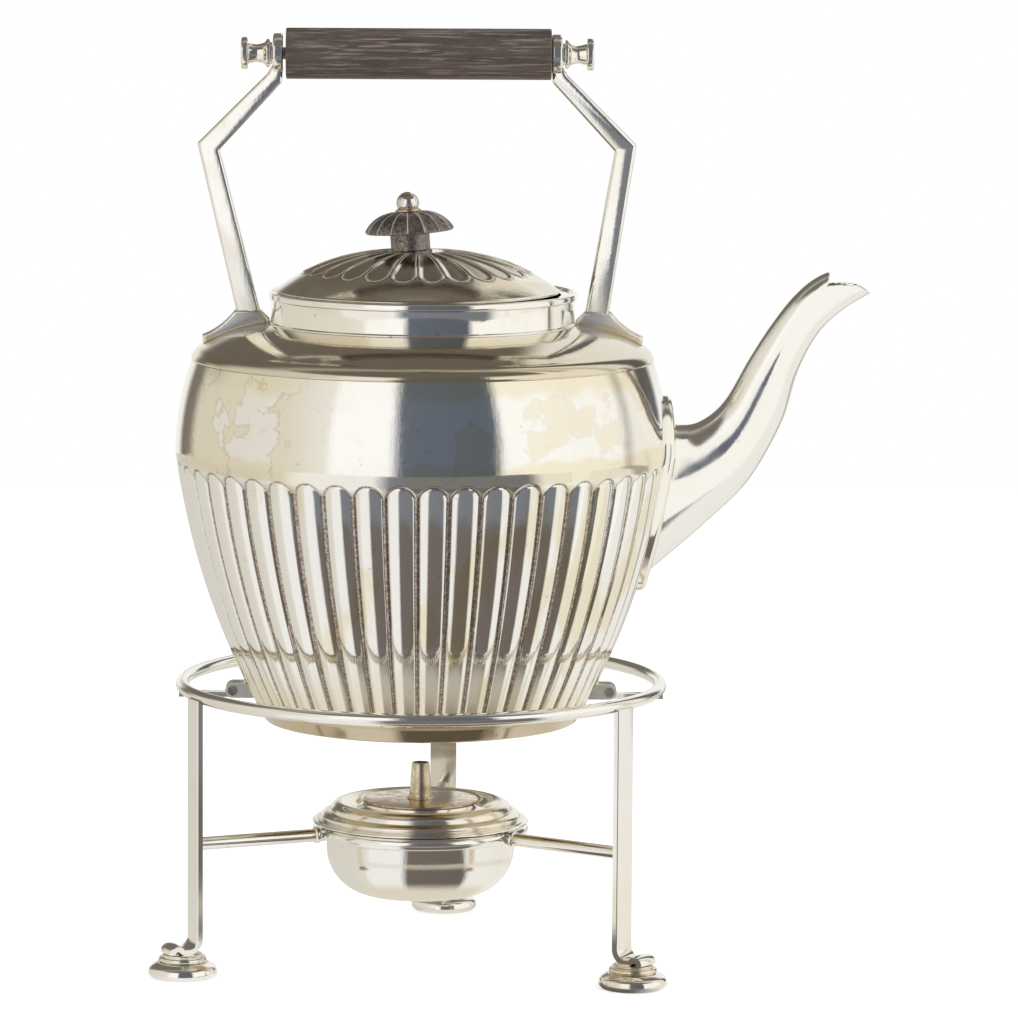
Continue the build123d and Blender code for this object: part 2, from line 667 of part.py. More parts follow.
def finial(side):
    """Spool-shaped thumb nut with a blind bore, outside its eye."""
    flare_top = (FINIAL_FLARE_R, FINIAL_FOOT_T + FINIAL_FLARE_T)
    neck = (FINIAL_NECK_R, FINIAL_L - FINIAL_DISC_T)
    nut = turned(
        Polyline((0, 0), (FINIAL_FOOT_R, 0), (FINIAL_FOOT_R, FINIAL_FOOT_T), (FINIAL_FLARE_R, FINIAL_FOOT_T),
                 flare_top),
        ThreePointArc(flare_top, (FINIAL_WAIST_R, FINIAL_WAIST_H), neck),
        Polyline(neck, (FINIAL_DISC_R, neck[1]), (FINIAL_DISC_R, FINIAL_L), (0, FINIAL_L), (0, 0)),
    )
    nut = nut - disc(ROD_R + RUN_GAP, 0, FINIAL_BORE_L)
    place = Pos(eye_x(side) + side * (EYE_T / 2 + SEAT_GAP), 0, EYE_Z)
    return place * Rot(0, side * 90, 0) * nut


# Lid, drawn about its own axis and set in the collar by seated()
def seated(shape):
    return Pos(-LID_SHIFT, 0, 0) * shape


def lid_form(drop=0.0):
    """Filled form of the lid's dome, lowered by drop. A lowered form reaches below the lid, to cut it open."""
    base = LID_Z - CUT_PAST if drop else LID_Z
    edge = (LID_R - drop, LID_Z + LID_EDGE_T - drop)
    middle = (LID_MID_R - drop / 2, LID_Z + LID_EDGE_T + LID_MID_RISE - drop)
    top = (LID_TOP_R, LID_TOP_Z - drop)
    return turned(
        Polyline((0, base), (edge[0], base), edge),
        ThreePointArc(edge, middle, top),
        Polyline(top, (0, LID_TOP_Z - drop), (0, base)),
    )


def petals():
    """Teardrop outlines that spread from the knob, each with a round end."""
    half_turn = math.pi / PETAL_COUNT
    end_r = (PETAL_END_R + PETAL_RIB / 2) / (1 + half_turn)
    half_w = end_r * half_turn - PETAL_RIB / 2
    in_w = max(PETAL_IN_R * half_turn - PETAL_RIB / 2, PETAL_RIB / 2)
    petal = make_face([
        Line((PETAL_IN_R, -in_w), (end_r, -half_w)),
        ThreePointArc((end_r, -half_w), (end_r + half_w, 0), (end_r, half_w)),
        Polyline((end_r, half_w), (PETAL_IN_R, in_w), (PETAL_IN_R, -in_w)),
    ])
    pitch = 360 / PETAL_COUNT
    return [Rot(0, 0, pitch * (i + 0.5) - 90) * petal for i in range(PETAL_COUNT)]


def lid_dome():
    skin = lid_form() - lid_form(PETAL_DEPTH)
    sunk = skin & [extrude(Pos(0, 0, LID_Z) * petal, LID_RISE + CUT_PAST) for petal in petals()]
    return seated(lid_form() - lid_form(LID_WALL + PETAL_DEPTH) - sunk)


def lid_bezel():
    """Band that drops into the collar and reaches up to the dome's underside."""
    band = tube(BEZEL_R, BEZEL_R - BEZEL_WALL, LID_Z - BEZEL_DEPTH, BEZEL_DEPTH + LID_RISE)
    return seated(band & lid_form(LID_WALL + PETAL_DEPTH))


def on_knob(shape):
    """Lean the knob's pieces about the middle of the lid's top."""
    return Pos(-KNOB_SHIFT, 0, LID_TOP_Z) * Rot(0, KNOB_LEAN, 0) * shape


def knob_stem():
    return on_knob(disc(STEM_R, -STEM_ROOT, STEM_H + STEM_ROOT)) - seated(lid_form())


def knob_cap():
    """Mushroom cap whose hollow flutes meet in ridges."""
    rim_r = max(r for r, _ in CAP_OUTLINE)
    levels = [
        Pos(0, 0, STEM_H) * scalloped(r, r - FLUTE_DEPTH * r / rim_r, z, FLUTE_COUNT, FLUTE_PHASE)
        for r, z in CAP_OUTLINE
    ]
    crown_r, crown_z = CAP_OUTLINE[-1]
    top = disc(crown_r - FLUTE_DEPTH, STEM_H + crown_z - OVERLAP, CAP_H - crown_z + OVERLAP)
    return on_knob(loft(levels) + top)


def knob_washer():
    return on_knob(disc(KNOB_WASHER_R, STEM_H + CAP_H, KNOB_WASHER_T))


def knob_ball():
    low = STEM_H + CAP_H + KNOB_WASHER_T
    ball = Pos(0, 0, low + BALL_R - BALL_FLAT) * Sphere(BALL_R)
    return on_knob(ball - disc(BALL_R, low - BALL_R, BALL_R))


# Burner
def bowl_form(wall=0.0):
    side = (BOWL_R - wall, HOLDER_Z - BOWL_SIDE_DROP)
    sole = (BOWL_SOLE_R, HOLDER_Z - BOWL_SOLE_DROP + wall)
    return turned(
        Line((0, sole[1]), sole),
        bowed(sole, side, BOWL_SWELL),
        Polyline(side, (side[0], COVER_Z), (0, COVER_Z), (0, sole[1])),
    )


def burner_bowl():
    return bowl_form() + tube(FLANGE_R, BOWL_R - BOWL_WALL, FLANGE_Z, FLANGE_T) - bowl_form(BOWL_WALL)


def burner_cover():
    """Stepped cover soldered on the bowl, with a raised seat for the wick plate."""
    edge = (FLANGE_R - COVER_INSET, COVER_Z)
    low_foot = (COVER_LOW_R, COVER_Z + COVER_BASE_T)
    low_top = (COVER_LOW_TOP_R, low_foot[1] + COVER_LOW_H)
    high_foot = (COVER_HIGH_R, low_top[1])
    neck = (COVER_NECK_R, high_foot[1] + COVER_NECK_H)
    lip = (COVER_LIP_R, COVER_TOP_Z)
    outer = turned(
        Polyline((0, COVER_Z), edge, moved(edge, up=COVER_BASE_T), low_foot),
        bowed(low_foot, low_top, COVER_LOW_SWELL),
        Line(low_top, high_foot),
        bowed(high_foot, neck, COVER_HIGH_SWELL),
        bowed(neck, lip, -COVER_LIP_HOLLOW),
        Polyline(lip, (0, COVER_TOP_Z), (0, COVER_Z)),
    )
    room_foot = (COVER_LOW_R - COVER_WALL, COVER_Z)
    room_side = moved(high_foot, -COVER_WALL, -COVER_WALL)
    room_top = moved(neck, up=-COVER_WALL)
    room = turned(
        Polyline((0, COVER_Z), room_foot, room_side),
        bowed(room_side, room_top, COVER_HIGH_SWELL - COVER_WALL / 2),
        Polyline(room_top, (0, room_top[1]), (0, COVER_Z)),
    )
    return outer - room - disc(COVER_HOLE_R, COVER_Z, CUT_PAST)


def wick_plate():
    plug = disc(COVER_HOLE_R - PLUG_GAP, WICK_PLATE_Z - PLUG_H, PLUG_H)
    plate = disc(COVER_LIP_R + WICK_PLATE_OVER, WICK_PLATE_Z, WICK_PLATE_T)
    return plug + plate - disc(TUBE_BORE_R, 0, WICK_PLATE_Z + CUT_PAST)


def wick_tube():
    low = WICK_PLATE_Z + WICK_PLATE_T
    top = low + TUBE_H
    cone = turned(Polyline((0, low), (TUBE_FOOT_R, low), (TUBE_TOP_R, top), (0, top), close=True))
    return cone + disc(TUBE_BEAD_R, low, TUBE_BEAD_H) - disc(TUBE_BORE_R, low, TUBE_H)


def wick():
    low = HOLDER_Z - BOWL_SOLE_DROP + WICK_OVER_SOLE
    top = WICK_PLATE_Z + WICK_PLATE_T + TUBE_H - WICK_BELOW_TOP
    return disc(TUBE_BORE_R - WICK_GAP, low, top - low)


def at_leg(azimuth, shape, radius=0.0):
    return Rot(0, 0, azimuth) * Pos(radius, 0, 0) * shape


def handed(shape, side):
    """The +X piece as drawn, or its copy on the -X side."""
    return shape if side > 0 else Rot(0, 0, 180) * shape


parts = {
    "stand_ring": stand_ring(),
    "burner_ring": burner_ring(),
    "hinge_bracket": handed(saddle_bracket(), 1),
    "rest_bracket": handed(saddle_bracket(), -1),
    "kettle_body": kettle_body(),
    "kettle_base": kettle_base(),
    "kettle_shoulder": kettle_shoulder(),
    "kettle_collar": kettle_collar(),
    "spout": spout(),
    "spout_plate": spout_plate(),
    "hinge_lug": handed(cross_lug(), 1),
    "rest_lug": handed(cross_lug(), -1),
    "pivot_pin": handed(cross_pin(), 1),
    "rest_pin": handed(cross_pin(), -1),
    "handle_left": upright(-1),
    "handle_right": upright(1),
    "grip_rod": grip_rod(),
    "grip": grip(),
    "finial_left": finial(-1),
    "finial_right": finial(1),
    "lid_dome": lid_dome(),
    "lid_bezel": lid_bezel(),
    "knob_stem": knob_stem(),
    "knob_cap": knob_cap(),
    "knob_washer": knob_washer(),
    "knob_ball": knob_ball(),
    "burner_bowl": burner_bowl(),
    "burner_cover": burner_cover(),
    "wick_plate": wick_plate(),
    "wick_tube": wick_tube(),
    "wick": wick(),
}
for place, azimuth in LEG_AZIMUTHS.items():
    parts[f"leg_{place}"] = at_leg(azimuth, leg())
    parts[f"foot_{place}"] = at_leg(azimuth, foot_dome(), FOOT_R)
    parts[f"foot_washer_{place}"] = at_leg(azimuth, foot_washer(), FOOT_R)
    parts[f"burner_arm_{place}"] = at_leg(azimuth, burner_arm())

for node, shape in parts.items():
    export_step(Pos(AXIS_X, AXIS_Y, 0) * shape, f"parts/{node}.step")
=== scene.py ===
import math
import bpy
import bmesh
from mathutils import Matrix, Vector


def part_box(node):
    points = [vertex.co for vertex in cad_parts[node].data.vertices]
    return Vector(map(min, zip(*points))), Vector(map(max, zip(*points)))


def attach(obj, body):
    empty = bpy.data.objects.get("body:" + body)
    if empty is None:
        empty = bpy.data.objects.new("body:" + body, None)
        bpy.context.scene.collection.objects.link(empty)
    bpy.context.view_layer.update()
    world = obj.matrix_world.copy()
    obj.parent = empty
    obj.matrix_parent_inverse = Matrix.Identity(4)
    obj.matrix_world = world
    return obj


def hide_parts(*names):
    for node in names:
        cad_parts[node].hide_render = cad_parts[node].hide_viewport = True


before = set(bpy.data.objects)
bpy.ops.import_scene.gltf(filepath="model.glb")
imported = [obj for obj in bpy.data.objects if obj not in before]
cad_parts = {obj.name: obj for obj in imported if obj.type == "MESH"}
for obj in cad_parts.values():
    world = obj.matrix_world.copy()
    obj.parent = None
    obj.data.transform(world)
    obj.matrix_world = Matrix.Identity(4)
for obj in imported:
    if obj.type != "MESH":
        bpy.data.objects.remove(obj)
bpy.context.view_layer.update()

# Pieces are drawn about the kettle's upright axis, which stands in the middle of the stand's ring
ring_low, ring_high = (Vector(corner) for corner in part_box("stand_ring"))
AXIS = ((ring_low + ring_high) / 2).to_2d().to_3d()

# Lengths of the pieces are in millimetres and become metres in the meshes
MM = 0.001
COLUMNS = 192           # round a turned piece

# Camera, fitted to the photo's circles
CAMERA_PLACE = (0.0, -2.400, 0.48052)
CAMERA_PITCH = 7.064    # degrees below the horizon
CAMERA_ROLL = 0.279
CAMERA_LENS = 212.2
CAMERA_SHIFT = 0.0856

# Stand
RING_R, RING_WIRE_R, RING_Z = 96.5, 2.6, 112.4
LEG_AZIMUTHS = {"left": 204.4, "right": 324.4, "back": 84.4}
LEG_R, LEG_W, LEG_T, LEG_CROWN, LEG_BEND_R = 98.6, 10.8, 2.2, 0.45, 4.8
FOOT_R = 104.0
WASHER_TOP_Z = 9.5
HOLDER_R, HOLDER_WIRE_R, HOLDER_Z = 41.0, 2.6, 53.2

# Kettle
LOBES = 48
LOBE_PHASE = -1.1       # degrees from the front to a groove, towards -X
LOBE_DEPTH = 1.7
LOBE_SHARE = 0.88       # share of the pitch that a lobe fills
LOBE_TOP_Z = 203.6
LOBE_FOOT_Z = 105.2
BODY_FOOT = (66.6, 104.6)
BODY_WAIST = (88.4, 157.0)
BODY_MAX = (99.2, 207.0)
BODY_NECK = (97.6, 225.0)
BODY_TOP = (92.6, 243.9)
WALL = 1.2

# Handle
HANDLE_LEAN = -2.6
HANDLE_TURN = 0.17       # slope of its front faces, which look a little towards -X
EYE_X, EYE_Z, EYE_R, EYE_T = 55.7, 366.4, 8.0, 4.0
GRIP_R = 10.2

# Lid and knob
LID_X = -2.2
LID_R = 57.0
LID_RIM_Z = 271.9
LID_TOP_Z = 287.5
LID_HUB_R = 9.5         # under the knob
PETALS = 24
PETAL_END_R = 46.5
KNOB_X, KNOB_LEAN = -4.9, -4.0
CAP_LIFT = 1.6          # raises the cap and its washer, so that the cap stands on the knob's neck
CAP_FLUTES = 16


# Outlines
def circle_through(a, b, c):
    """Centre and radius of the circle through three points."""
    d = 2 * (a[0] * (b[1] - c[1]) + b[0] * (c[1] - a[1]) + c[0] * (a[1] - b[1]))
    a2, b2, c2 = (p[0] ** 2 + p[1] ** 2 for p in (a, b, c))
    x = (a2 * (b[1] - c[1]) + b2 * (c[1] - a[1]) + c2 * (a[1] - b[1])) / d
    z = (a2 * (c[0] - b[0]) + b2 * (a[0] - c[0]) + c2 * (b[0] - a[0])) / d
    return x, z, math.hypot(a[0] - x, a[1] - z)


def arc(a, b, c, count=16):
    """Points of the arc from a through b to c, without its last point."""
    x, z, radius = circle_through(a, b, c)
    turn = 2 * math.pi
    start, mid, end = (math.atan2(p[1] - z, p[0] - x) for p in (a, b, c))
    forward = (mid - start) % turn < (end - start) % turn
    sweep = (end - start) % turn if forward else -((start - end) % turn)
    angles = [start + sweep * i / count for i in range(count)]
    return [(x + radius * math.cos(t), z + radius * math.sin(t)) for t in angles]


def rounded(corners, closed=True, count=5):
    """Outline from (x, z, radius) corners, each rounded where it has a radius."""
    points = []
    for i, corner in enumerate(corners):
        here = Vector(corner[:2])
        radius = corner[2] if len(corner) > 2 else 0
        ends = not closed and i in (0, len(corners) - 1)
        if radius <= 0 or ends:
            points.append(tuple(here))
            continue
        back = (Vector(corners[i - 1][:2]) - here).normalized()
        ahead = (Vector(corners[(i + 1) % len(corners)][:2]) - here).normalized()
        half = back.angle(ahead) / 2
        reach = radius / math.tan(half)
        centre = here + (back + ahead).normalized() * (radius / math.sin(half))
        first, last = here + back * reach, here + ahead * reach
        start = (first - centre).to_3d()
        total = start.angle((last - centre).to_3d())
        side = 1 if start.cross((last - centre).to_3d()).z > 0 else -1
        for k in range(count + 1):
            turned = Matrix.Rotation(side * total * k / count, 3, "Z") @ start
            points.append((centre.x + turned.x, centre.y + turned.y))
    return points


# Meshes
def finish_mesh(name, bm, body, material, nodes, sharp=32.0, place=None):
    """Piece from a mesh in millimetres: smooth but for edges over sharp degrees, riding on its body."""
    bmesh.ops.recalc_face_normals(bm, faces=bm.faces)
    limit = math.radians(sharp)
    for face in bm.faces:
        face.smooth = True
    for edge in bm.edges:
        edge.smooth = len(edge.link_faces) == 2 and edge.calc_face_angle(0) < limit
    mesh = bpy.data.meshes.new(name)
    if place is not None:
        bm.transform(place)
    bm.transform(Matrix.Scale(MM, 4))
    bm.to_mesh(mesh)
    bm.free()
    piece = bpy.data.objects.new(name, mesh)
    bpy.context.scene.collection.objects.link(piece)
    mesh.materials.append(material)
    piece.location = AXIS
    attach(piece, body)
    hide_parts(*nodes)
    return piece


def skin(bm, rows, closed_rows=True):
    """Quads between rows of points, each row a closed loop."""
    grid = [[bm.verts.new(p) for p in row] for row in rows]
    row_count = len(grid) if closed_rows else len(grid) - 1
    for i in range(row_count):
        one, two = grid[i], grid[(i + 1) % len(grid)]
        for j in range(len(one)):
            k = (j + 1) % len(one)
            bm.faces.new((one[j], one[k], two[k], two[j]))
    return grid


def capped_skin(bm, rows):
    """Quads between rows of points, with a face at each end."""
    grid = skin(bm, rows, closed_rows=False)
    bm.faces.new(grid[0])
    bm.faces.new(reversed(grid[-1]))


def weld(bm):
    """Merge points that coincide, and drop faces that have no area left."""
    bmesh.ops.remove_doubles(bm, verts=bm.verts, dist=1e-4)
    bad = [f for f in bm.faces if f.calc_area() < 1e-9]
    bmesh.ops.delete(bm, geom=bad, context="FACES")


def lathe_into(bm, outline, columns=COLUMNS, place=None):
    """Revolve a closed (r, z) outline about Z."""
    rows = []
    for r, z in outline:
        angles = [2 * math.pi * j / columns for j in range(columns)]
        row = [Vector((max(r, 0) * math.cos(t), max(r, 0) * math.sin(t), z)) for t in angles]
        rows.append([place @ p for p in row] if place else row)
    skin(bm, rows)


def lathe(name, outline, body, material, nodes, columns=COLUMNS, place=None):
    """Turned piece from a closed (r, z) outline."""
    bm = bmesh.new()
    lathe_into(bm, outline, columns)
    weld(bm)
    return finish_mesh(name, bm, body, material, nodes, place=place)


def torus_outline(radius, wire, z, count=28):
    """Outline of a round wire bent into a ring."""
    angles = [2 * math.pi * i / count for i in range(count)]
    return [(radius + wire * math.cos(t), z + wire * math.sin(t)) for t in angles]


def prism_into(bm, outline, depth, bevel, steps):
    """Plate in the XZ plane with rounded long edges: rings of the outline, drawn in towards its faces."""
    count = len(outline)
    area = sum(outline[i - 1][0] * outline[i][1] - outline[i][0] * outline[i - 1][1] for i in range(count))
    sign = 1 if area > 0 else -1
    inward = []
    for i in range(count):
        before, here, after = (Vector(outline[k % count]) for k in (i - 1, i, i + 1))
        one, two = (here - before).normalized(), (after - here).normalized()
        normals = [Vector((-v.y, v.x)) * sign for v in (one, two)]
        mean = normals[0] + normals[1]
        inward.append(mean / max(mean.length_squared / 2, 0.5))
    rings = []
    for k in range(steps + 1):
        angle = math.pi / 2 * k / steps
        inset = bevel * (1 - math.cos(angle)) if k else 0
        rings.append((inset, -depth / 2 + bevel - bevel * math.sin(angle)))
    rings = [(inset, y) for inset, y in reversed(rings)] + [(inset, -y) for inset, y in rings]
    rows = []
    for inset, y in rings:
        rows.append([Vector((p[0] + d.x * inset, y, p[1] + d.y * inset)) for p, d in zip(outline, inward)])
    capped_skin(bm, rows)


def cylinder_x(bm, radius, x_low, x_high, z, columns=64, edge=0.3):
    """Round bar along X with eased ends."""
    outline = rounded([(0, x_low), (radius, x_low, edge), (radius, x_high, edge), (0, x_high)])
    place = Matrix.Translation((0, 0, z)) @ Matrix.Rotation(math.radians(90), 4, "Y")
    lathe_into(bm, outline, columns, place)


# Materials
class Nodes:
    """Small helper that adds and links shader nodes."""

    def __init__(self, tree):
        self.tree = tree

    def add(self, kind, values=None, **settings):
        node = self.tree.nodes.new(kind)
        for key, value in settings.items():
            setattr(node, key, value)
        for key, value in (values or {}).items():
            if isinstance(value, bpy.types.NodeSocket):
                self.tree.links.new(value, node.inputs[key])
            else:
                node.inputs[key].default_value = value
        return node

    def math(self, operation, a, b=0.0, c=0.0, clamp=False):
        values = {0: a, 1: b, 2: c}
        return self.add("ShaderNodeMath", values, operation=operation, use_clamp=clamp).outputs[0]

    def times(self, a, b):
        return self.math("MULTIPLY", a, b)

    def plus(self, a, b, clamp=False):
        return self.math("ADD", a, b, clamp=clamp)

    def rest(self, a, clamp=False):
        """What is left of 1 after a."""
        return self.math("SUBTRACT", 1.0, a, clamp=clamp)

    def most(self, a, b):
        return self.math("MAXIMUM", a, b)

    def scaled(self, a, factor, extra):
        return self.math("MULTIPLY_ADD", a, factor, extra)

    def ramp(self, fac, stops):
        node = self.add("ShaderNodeValToRGB", {"Fac": fac})
        elements = node.color_ramp.elements
        for i, (place, colour) in enumerate(stops):
            element = elements[i] if i < 2 else elements.new(place)
            element.position = place
            element.color = (*colour, 1)
        return node.outputs["Color"]

    def smooth(self, value, low, high, to_low=0.0, to_high=1.0):
        values = {"Value": value, "From Min": low, "From Max": high, "To Min": to_low, "To Max": to_high}
        return self.add("ShaderNodeMapRange", values, interpolation_type="SMOOTHSTEP").outputs["Result"]

    def mix(self, fac, a, b, blend="MIX"):
        a, b = (c if isinstance(c, bpy.types.NodeSocket) else (*c, 1) for c in (a, b))
        values = {0: fac, 6: a, 7: b}
        return self.add("ShaderNodeMix", values, data_type="RGBA", blend_type=blend).outputs[2]

    def noise(self, vector, scale, detail=4.0, rough=0.55, distortion=0.0):
        values = {"Vector": vector, "Scale": scale, "Detail": detail, "Roughness": rough}
        values["Distortion"] = distortion
        return self.add("ShaderNodeTexNoise", values).outputs["Fac"]

    def place(self, scale=(1, 1, 1), shift=(0, 0, 0)):
        coordinates = self.add("ShaderNodeTexCoord").outputs["Object"]
        values = {"Vector": coordinates, "Scale": scale, "Location": shift}
        return self.add("ShaderNodeMapping", values).outputs[0]

    def finish(self, kind, shader):
        """Link a shader to a new output node."""
        self.tree.links.new(shader.outputs[0], self.add(kind).inputs["Surface"])


def new_material(name):
    material = bpy.data.materials.new(name)
    material.use_nodes = True
    tree = material.node_tree
    shader = tree.nodes["Principled BSDF"]
    return material, Nodes(tree), shader


SILVER = (0.93, 0.905, 0.855)
CREAM = (0.86, 0.78, 0.58)
TAN = (0.66, 0.53, 0.34)
BROWN = (0.42, 0.31, 0.20)
PIT_BROWN = (0.34, 0.255, 0.19)


def wire_up(n, shader, colour, rough, height, strength, distance, metallic=1.0):
    """Link colour, roughness and bump to the shader, or set them on it where they are plain values."""
    bump = n.add("ShaderNodeBump", {"Height": height, "Strength": strength, "Distance": distance})
    n.tree.links.new(bump.outputs[0], shader.inputs["Normal"])
    for key, value in (("Base Color", colour), ("Roughness", rough), ("Metallic", metallic)):
        if isinstance(value, bpy.types.NodeSocket):
            n.tree.links.new(value, shader.inputs[key])
        else:
            shader.inputs[key].default_value = value


def scratched(n, here, scratches):
    """Height of fine upright scratches over a soft unevenness."""
    streak = n.noise(n.place(scale=(1.0, 1.0, 0.06)), 900.0, 3.0, 0.6)
    fine = n.noise(here, 160.0, 4.0, 0.6)
    return n.plus(n.times(streak, scratches), n.times(fine, 0.6))


def specked(n, here, dirt):
    """Share of brown dirt: small specks where a broad noise allows them."""
    specks = n.smooth(n.noise(here, 420.0, 3.0, 0.5), 0.66, 0.76)
    spots = n.smooth(n.noise(n.place(shift=(0.3, 0.1, 0.2)), 60.0, 2.0, 0.5), 0.50, 0.62)
    return n.plus(n.times(n.times(specks, spots), 0.55), dirt, clamp=True)


def plated(name, tarnish=0.35, rough=0.07, patches=0.0, scratches=0.25, warm=0.0, dirt=0.0):
    """Silver plate: bright metal under patches of yellow film, with specks of dirt and fine scratches."""
    material, n, shader = new_material(name)
    here = n.place()
    film = n.times(n.smooth(n.noise(here, 18.0, 5.0, 0.6, 0.6), 0.42, 0.72), tarnish)
    if patches:
        blotch = n.smooth(n.noise(here, 34.0, 6.0, 0.62, 0.4), 0.49, 0.53)
        film = n.most(film, n.times(blotch, patches))
    colour = n.mix(n.plus(film, warm, clamp=True), SILVER, CREAM)
    colour = n.mix(specked(n, here, dirt), colour, BROWN)
    roughness = n.smooth(n.noise(here, 70.0, 4.0, 0.6), 0.3, 0.7, rough * 0.7, rough * 1.6)
    wire_up(n, shader, colour, roughness, scratched(n, here, scratches), 0.045, 0.001)
    return material


def bar_plate(name):
    """Plate of the handle's uprights: bright bars that turn dull and golden at their feet."""
    material, n, shader = new_material(name)
    here = n.place()
    z = n.add("ShaderNodeSeparateXYZ", {0: here}).outputs["Z"]
    root = n.rest(n.smooth(z, 0.258, 0.276))
    cloud = n.noise(here, 60.0, 5.0, 0.6, 0.4)
    film = n.times(n.smooth(cloud, 0.42, 0.68), n.scaled(root, 0.5, 0.40))
    colour = n.mix(film, SILVER, CREAM)
    colour = n.mix(specked(n, here, 0.0), colour, BROWN)
    roughness = n.scaled(root, 0.26, n.smooth(cloud, 0.3, 0.7, 0.06, 0.14))
    wire_up(n, shader, colour, roughness, scratched(n, here, 0.5), 0.06, 0.001)
    return material


def body_film(n, here):
    """Film on the kettle's wall: its share, and the share of the tan rims round the cleaned patches.

    Heights and places are in metres from the kettle's axis. Above the lobes the film lies in two bands and in
    patches, and on the lobes in long patches. It is thin on the rubbed part of the front.
    """
    patch_edge = 0.535
    x, y, z = n.add("ShaderNodeSeparateXYZ", {0: here}).outputs
    worn = n.noise(n.place(shift=(0.31, 0.17, 0.05)), 34.0, 6.0, 0.55, 0.15)
    worn = n.scaled(x, -1.0, worn)
    wobble = n.scaled(n.noise(n.place(shift=(0.2, 0.5, 0.1)), 70.0, 4.0, 0.6), 0.012, -0.006)
    level = n.plus(z, wobble)
    low_band = n.rest(n.smooth(level, 0.2105, 0.2135))
    top_band = n.smooth(level, 0.2345, 0.2400)
    patch = n.smooth(worn, patch_edge, patch_edge + 0.015)
    near_edge = n.times(n.math("ABSOLUTE", n.math("SUBTRACT", worn, patch_edge)), 60.0)
    rim_strength = n.smooth(x, 0.030, -0.020, 0.25, 0.60)
    rim = n.times(n.rest(near_edge, clamp=True), rim_strength)
    wall = n.most(n.most(low_band, top_band), n.times(patch, 0.8))
    tall = n.noise(n.place(scale=(1.0, 1.0, 0.30), shift=(0.4, 0.1, 0.0)), 44.0, 4.0, 0.5, 0.2)
    long_patch = n.smooth(tall, 0.54, 0.60)
    long_patch = n.most(long_patch, n.smooth(level, 0.126, 0.102))
    above = n.smooth(z, 0.2030, 0.2045)
    front = n.rest(n.smooth(y, -0.02, 0.0))
    clear = n.times(n.smooth(x, -0.056, -0.040), n.smooth(x, -0.002, -0.014))
    clear = n.times(n.times(clear, front), above)
    film = n.scaled(n.math("SUBTRACT", wall, long_patch), above, long_patch)
    shown = n.scaled(clear, -0.85, 1.0)
    return n.times(film, shown), n.times(n.times(rim, above), shown)


def body_plate(name):
    """Silver plate of the kettle's wall, with map-like film and pitted brown dirt in the grooves."""
    material, n, shader = new_material(name)
    here = n.place()
    film, rim = body_film(n, here)
    colour = n.mix(n.times(film, 0.80), SILVER, CREAM)
    colour = n.mix(rim, colour, TAN)
    colour = n.mix(specked(n, here, 0.0), colour, BROWN)
    mark = n.add("ShaderNodeAttribute", attribute_name="groove").outputs["Fac"]
    grain = n.smooth(n.noise(here, 900.0, 3.0, 0.6), 0.34, 0.62, 0.45, 1.0)
    colour = n.mix(n.times(mark, grain), colour, PIT_BROWN)
    smooth_part = n.smooth(n.noise(here, 70.0, 4.0, 0.6), 0.3, 0.7, 0.05, 0.11)
    roughness = n.scaled(mark, 0.30, smooth_part)
    wire_up(n, shader, colour, roughness, scratched(n, here, 0.25), 0.045, 0.001)
    return material


def aged_knob(name):
    """Dark oxidised silver with pale rubbed ridges."""
    material, n, shader = new_material(name)
    here = n.place()
    ridge = n.add("ShaderNodeAttribute", attribute_name="ridge").outputs["Fac"]
    pits = n.noise(here, 700.0, 4.0, 0.65)
    dark = n.ramp(n.noise(here, 90.0, 4.0, 0.6), [(0.3, (0.12, 0.095, 0.085)), (0.7, (0.33, 0.285, 0.26))])
    pitted = n.mix(n.smooth(pits, 0.42, 0.60), dark, (0.40, 0.36, 0.34))
    colour = n.mix(n.smooth(ridge, 0.35, 0.85), pitted, (0.86, 0.82, 0.77))
    rough = n.smooth(pits, 0.3, 0.7, 0.30, 0.50)
    metallic = n.scaled(n.smooth(ridge, 0.35, 0.85), -0.5, 1.0)
    wire_up(n, shader, colour, rough, pits, 0.35, 0.0006, metallic)
    return material


def aged_lid(name):
    """Plated lid with pale ridges round tarnished petals. The ridges' pale, less metallic finish is partly
    rubbed wear and partly a painted highlight, so that they look lit from every side.
    """
    material, n, shader = new_material(name)
    here = n.place()
    ridge = n.add("ShaderNodeAttribute", attribute_name="ridge").outputs["Fac"]
    recess = n.add("ShaderNodeAttribute", attribute_name="groove").outputs["Fac"]
    # Pale ridges: partly rubbed wear, partly a painted highlight. They get a pale colour and less metal, so
    # that they look lit from every side
    wear_and_painted_glint = n.smooth(ridge, 0.25, 0.80)
    cloud = n.smooth(n.noise(here, 42.0, 5.0, 0.6, 0.5), 0.35, 0.70)
    colour = n.mix(cloud, (0.86, 0.82, 0.72), (0.74, 0.65, 0.47))
    dirty = n.mix(n.noise(here, 160.0, 3.0, 0.6), (0.30, 0.27, 0.19), (0.60, 0.54, 0.42))
    colour = n.mix(n.times(recess, 0.8), colour, dirty)
    colour = n.mix(wear_and_painted_glint, colour, (0.60, 0.56, 0.47))
    rough = n.plus(n.smooth(cloud, 0.0, 1.0, 0.08, 0.16), n.times(recess, 0.12))
    metallic = n.scaled(wear_and_painted_glint, -0.65, 1.0)
    wire_up(n, shader, colour, rough, n.noise(here, 500.0, 4.0, 0.6), 0.08, 0.0006, metallic)
    return material


def brass(name, light=(0.86, 0.79, 0.66), dark=(0.42, 0.33, 0.22), rough=0.22):
    """Bare metal with clouds from a dark colour to a light one."""
    material, n, shader = new_material(name)
    here = n.place()
    cloud = n.noise(here, 140.0, 5.0, 0.65, 0.4)
    colour = n.ramp(cloud, [(0.32, dark), (0.60, light)])
    roughness = n.smooth(cloud, 0.3, 0.7, rough * 1.6, rough * 0.8)
    wire_up(n, shader, colour, roughness, n.noise(here, 900.0, 3.0, 0.6), 0.10, 0.0005)
    return material


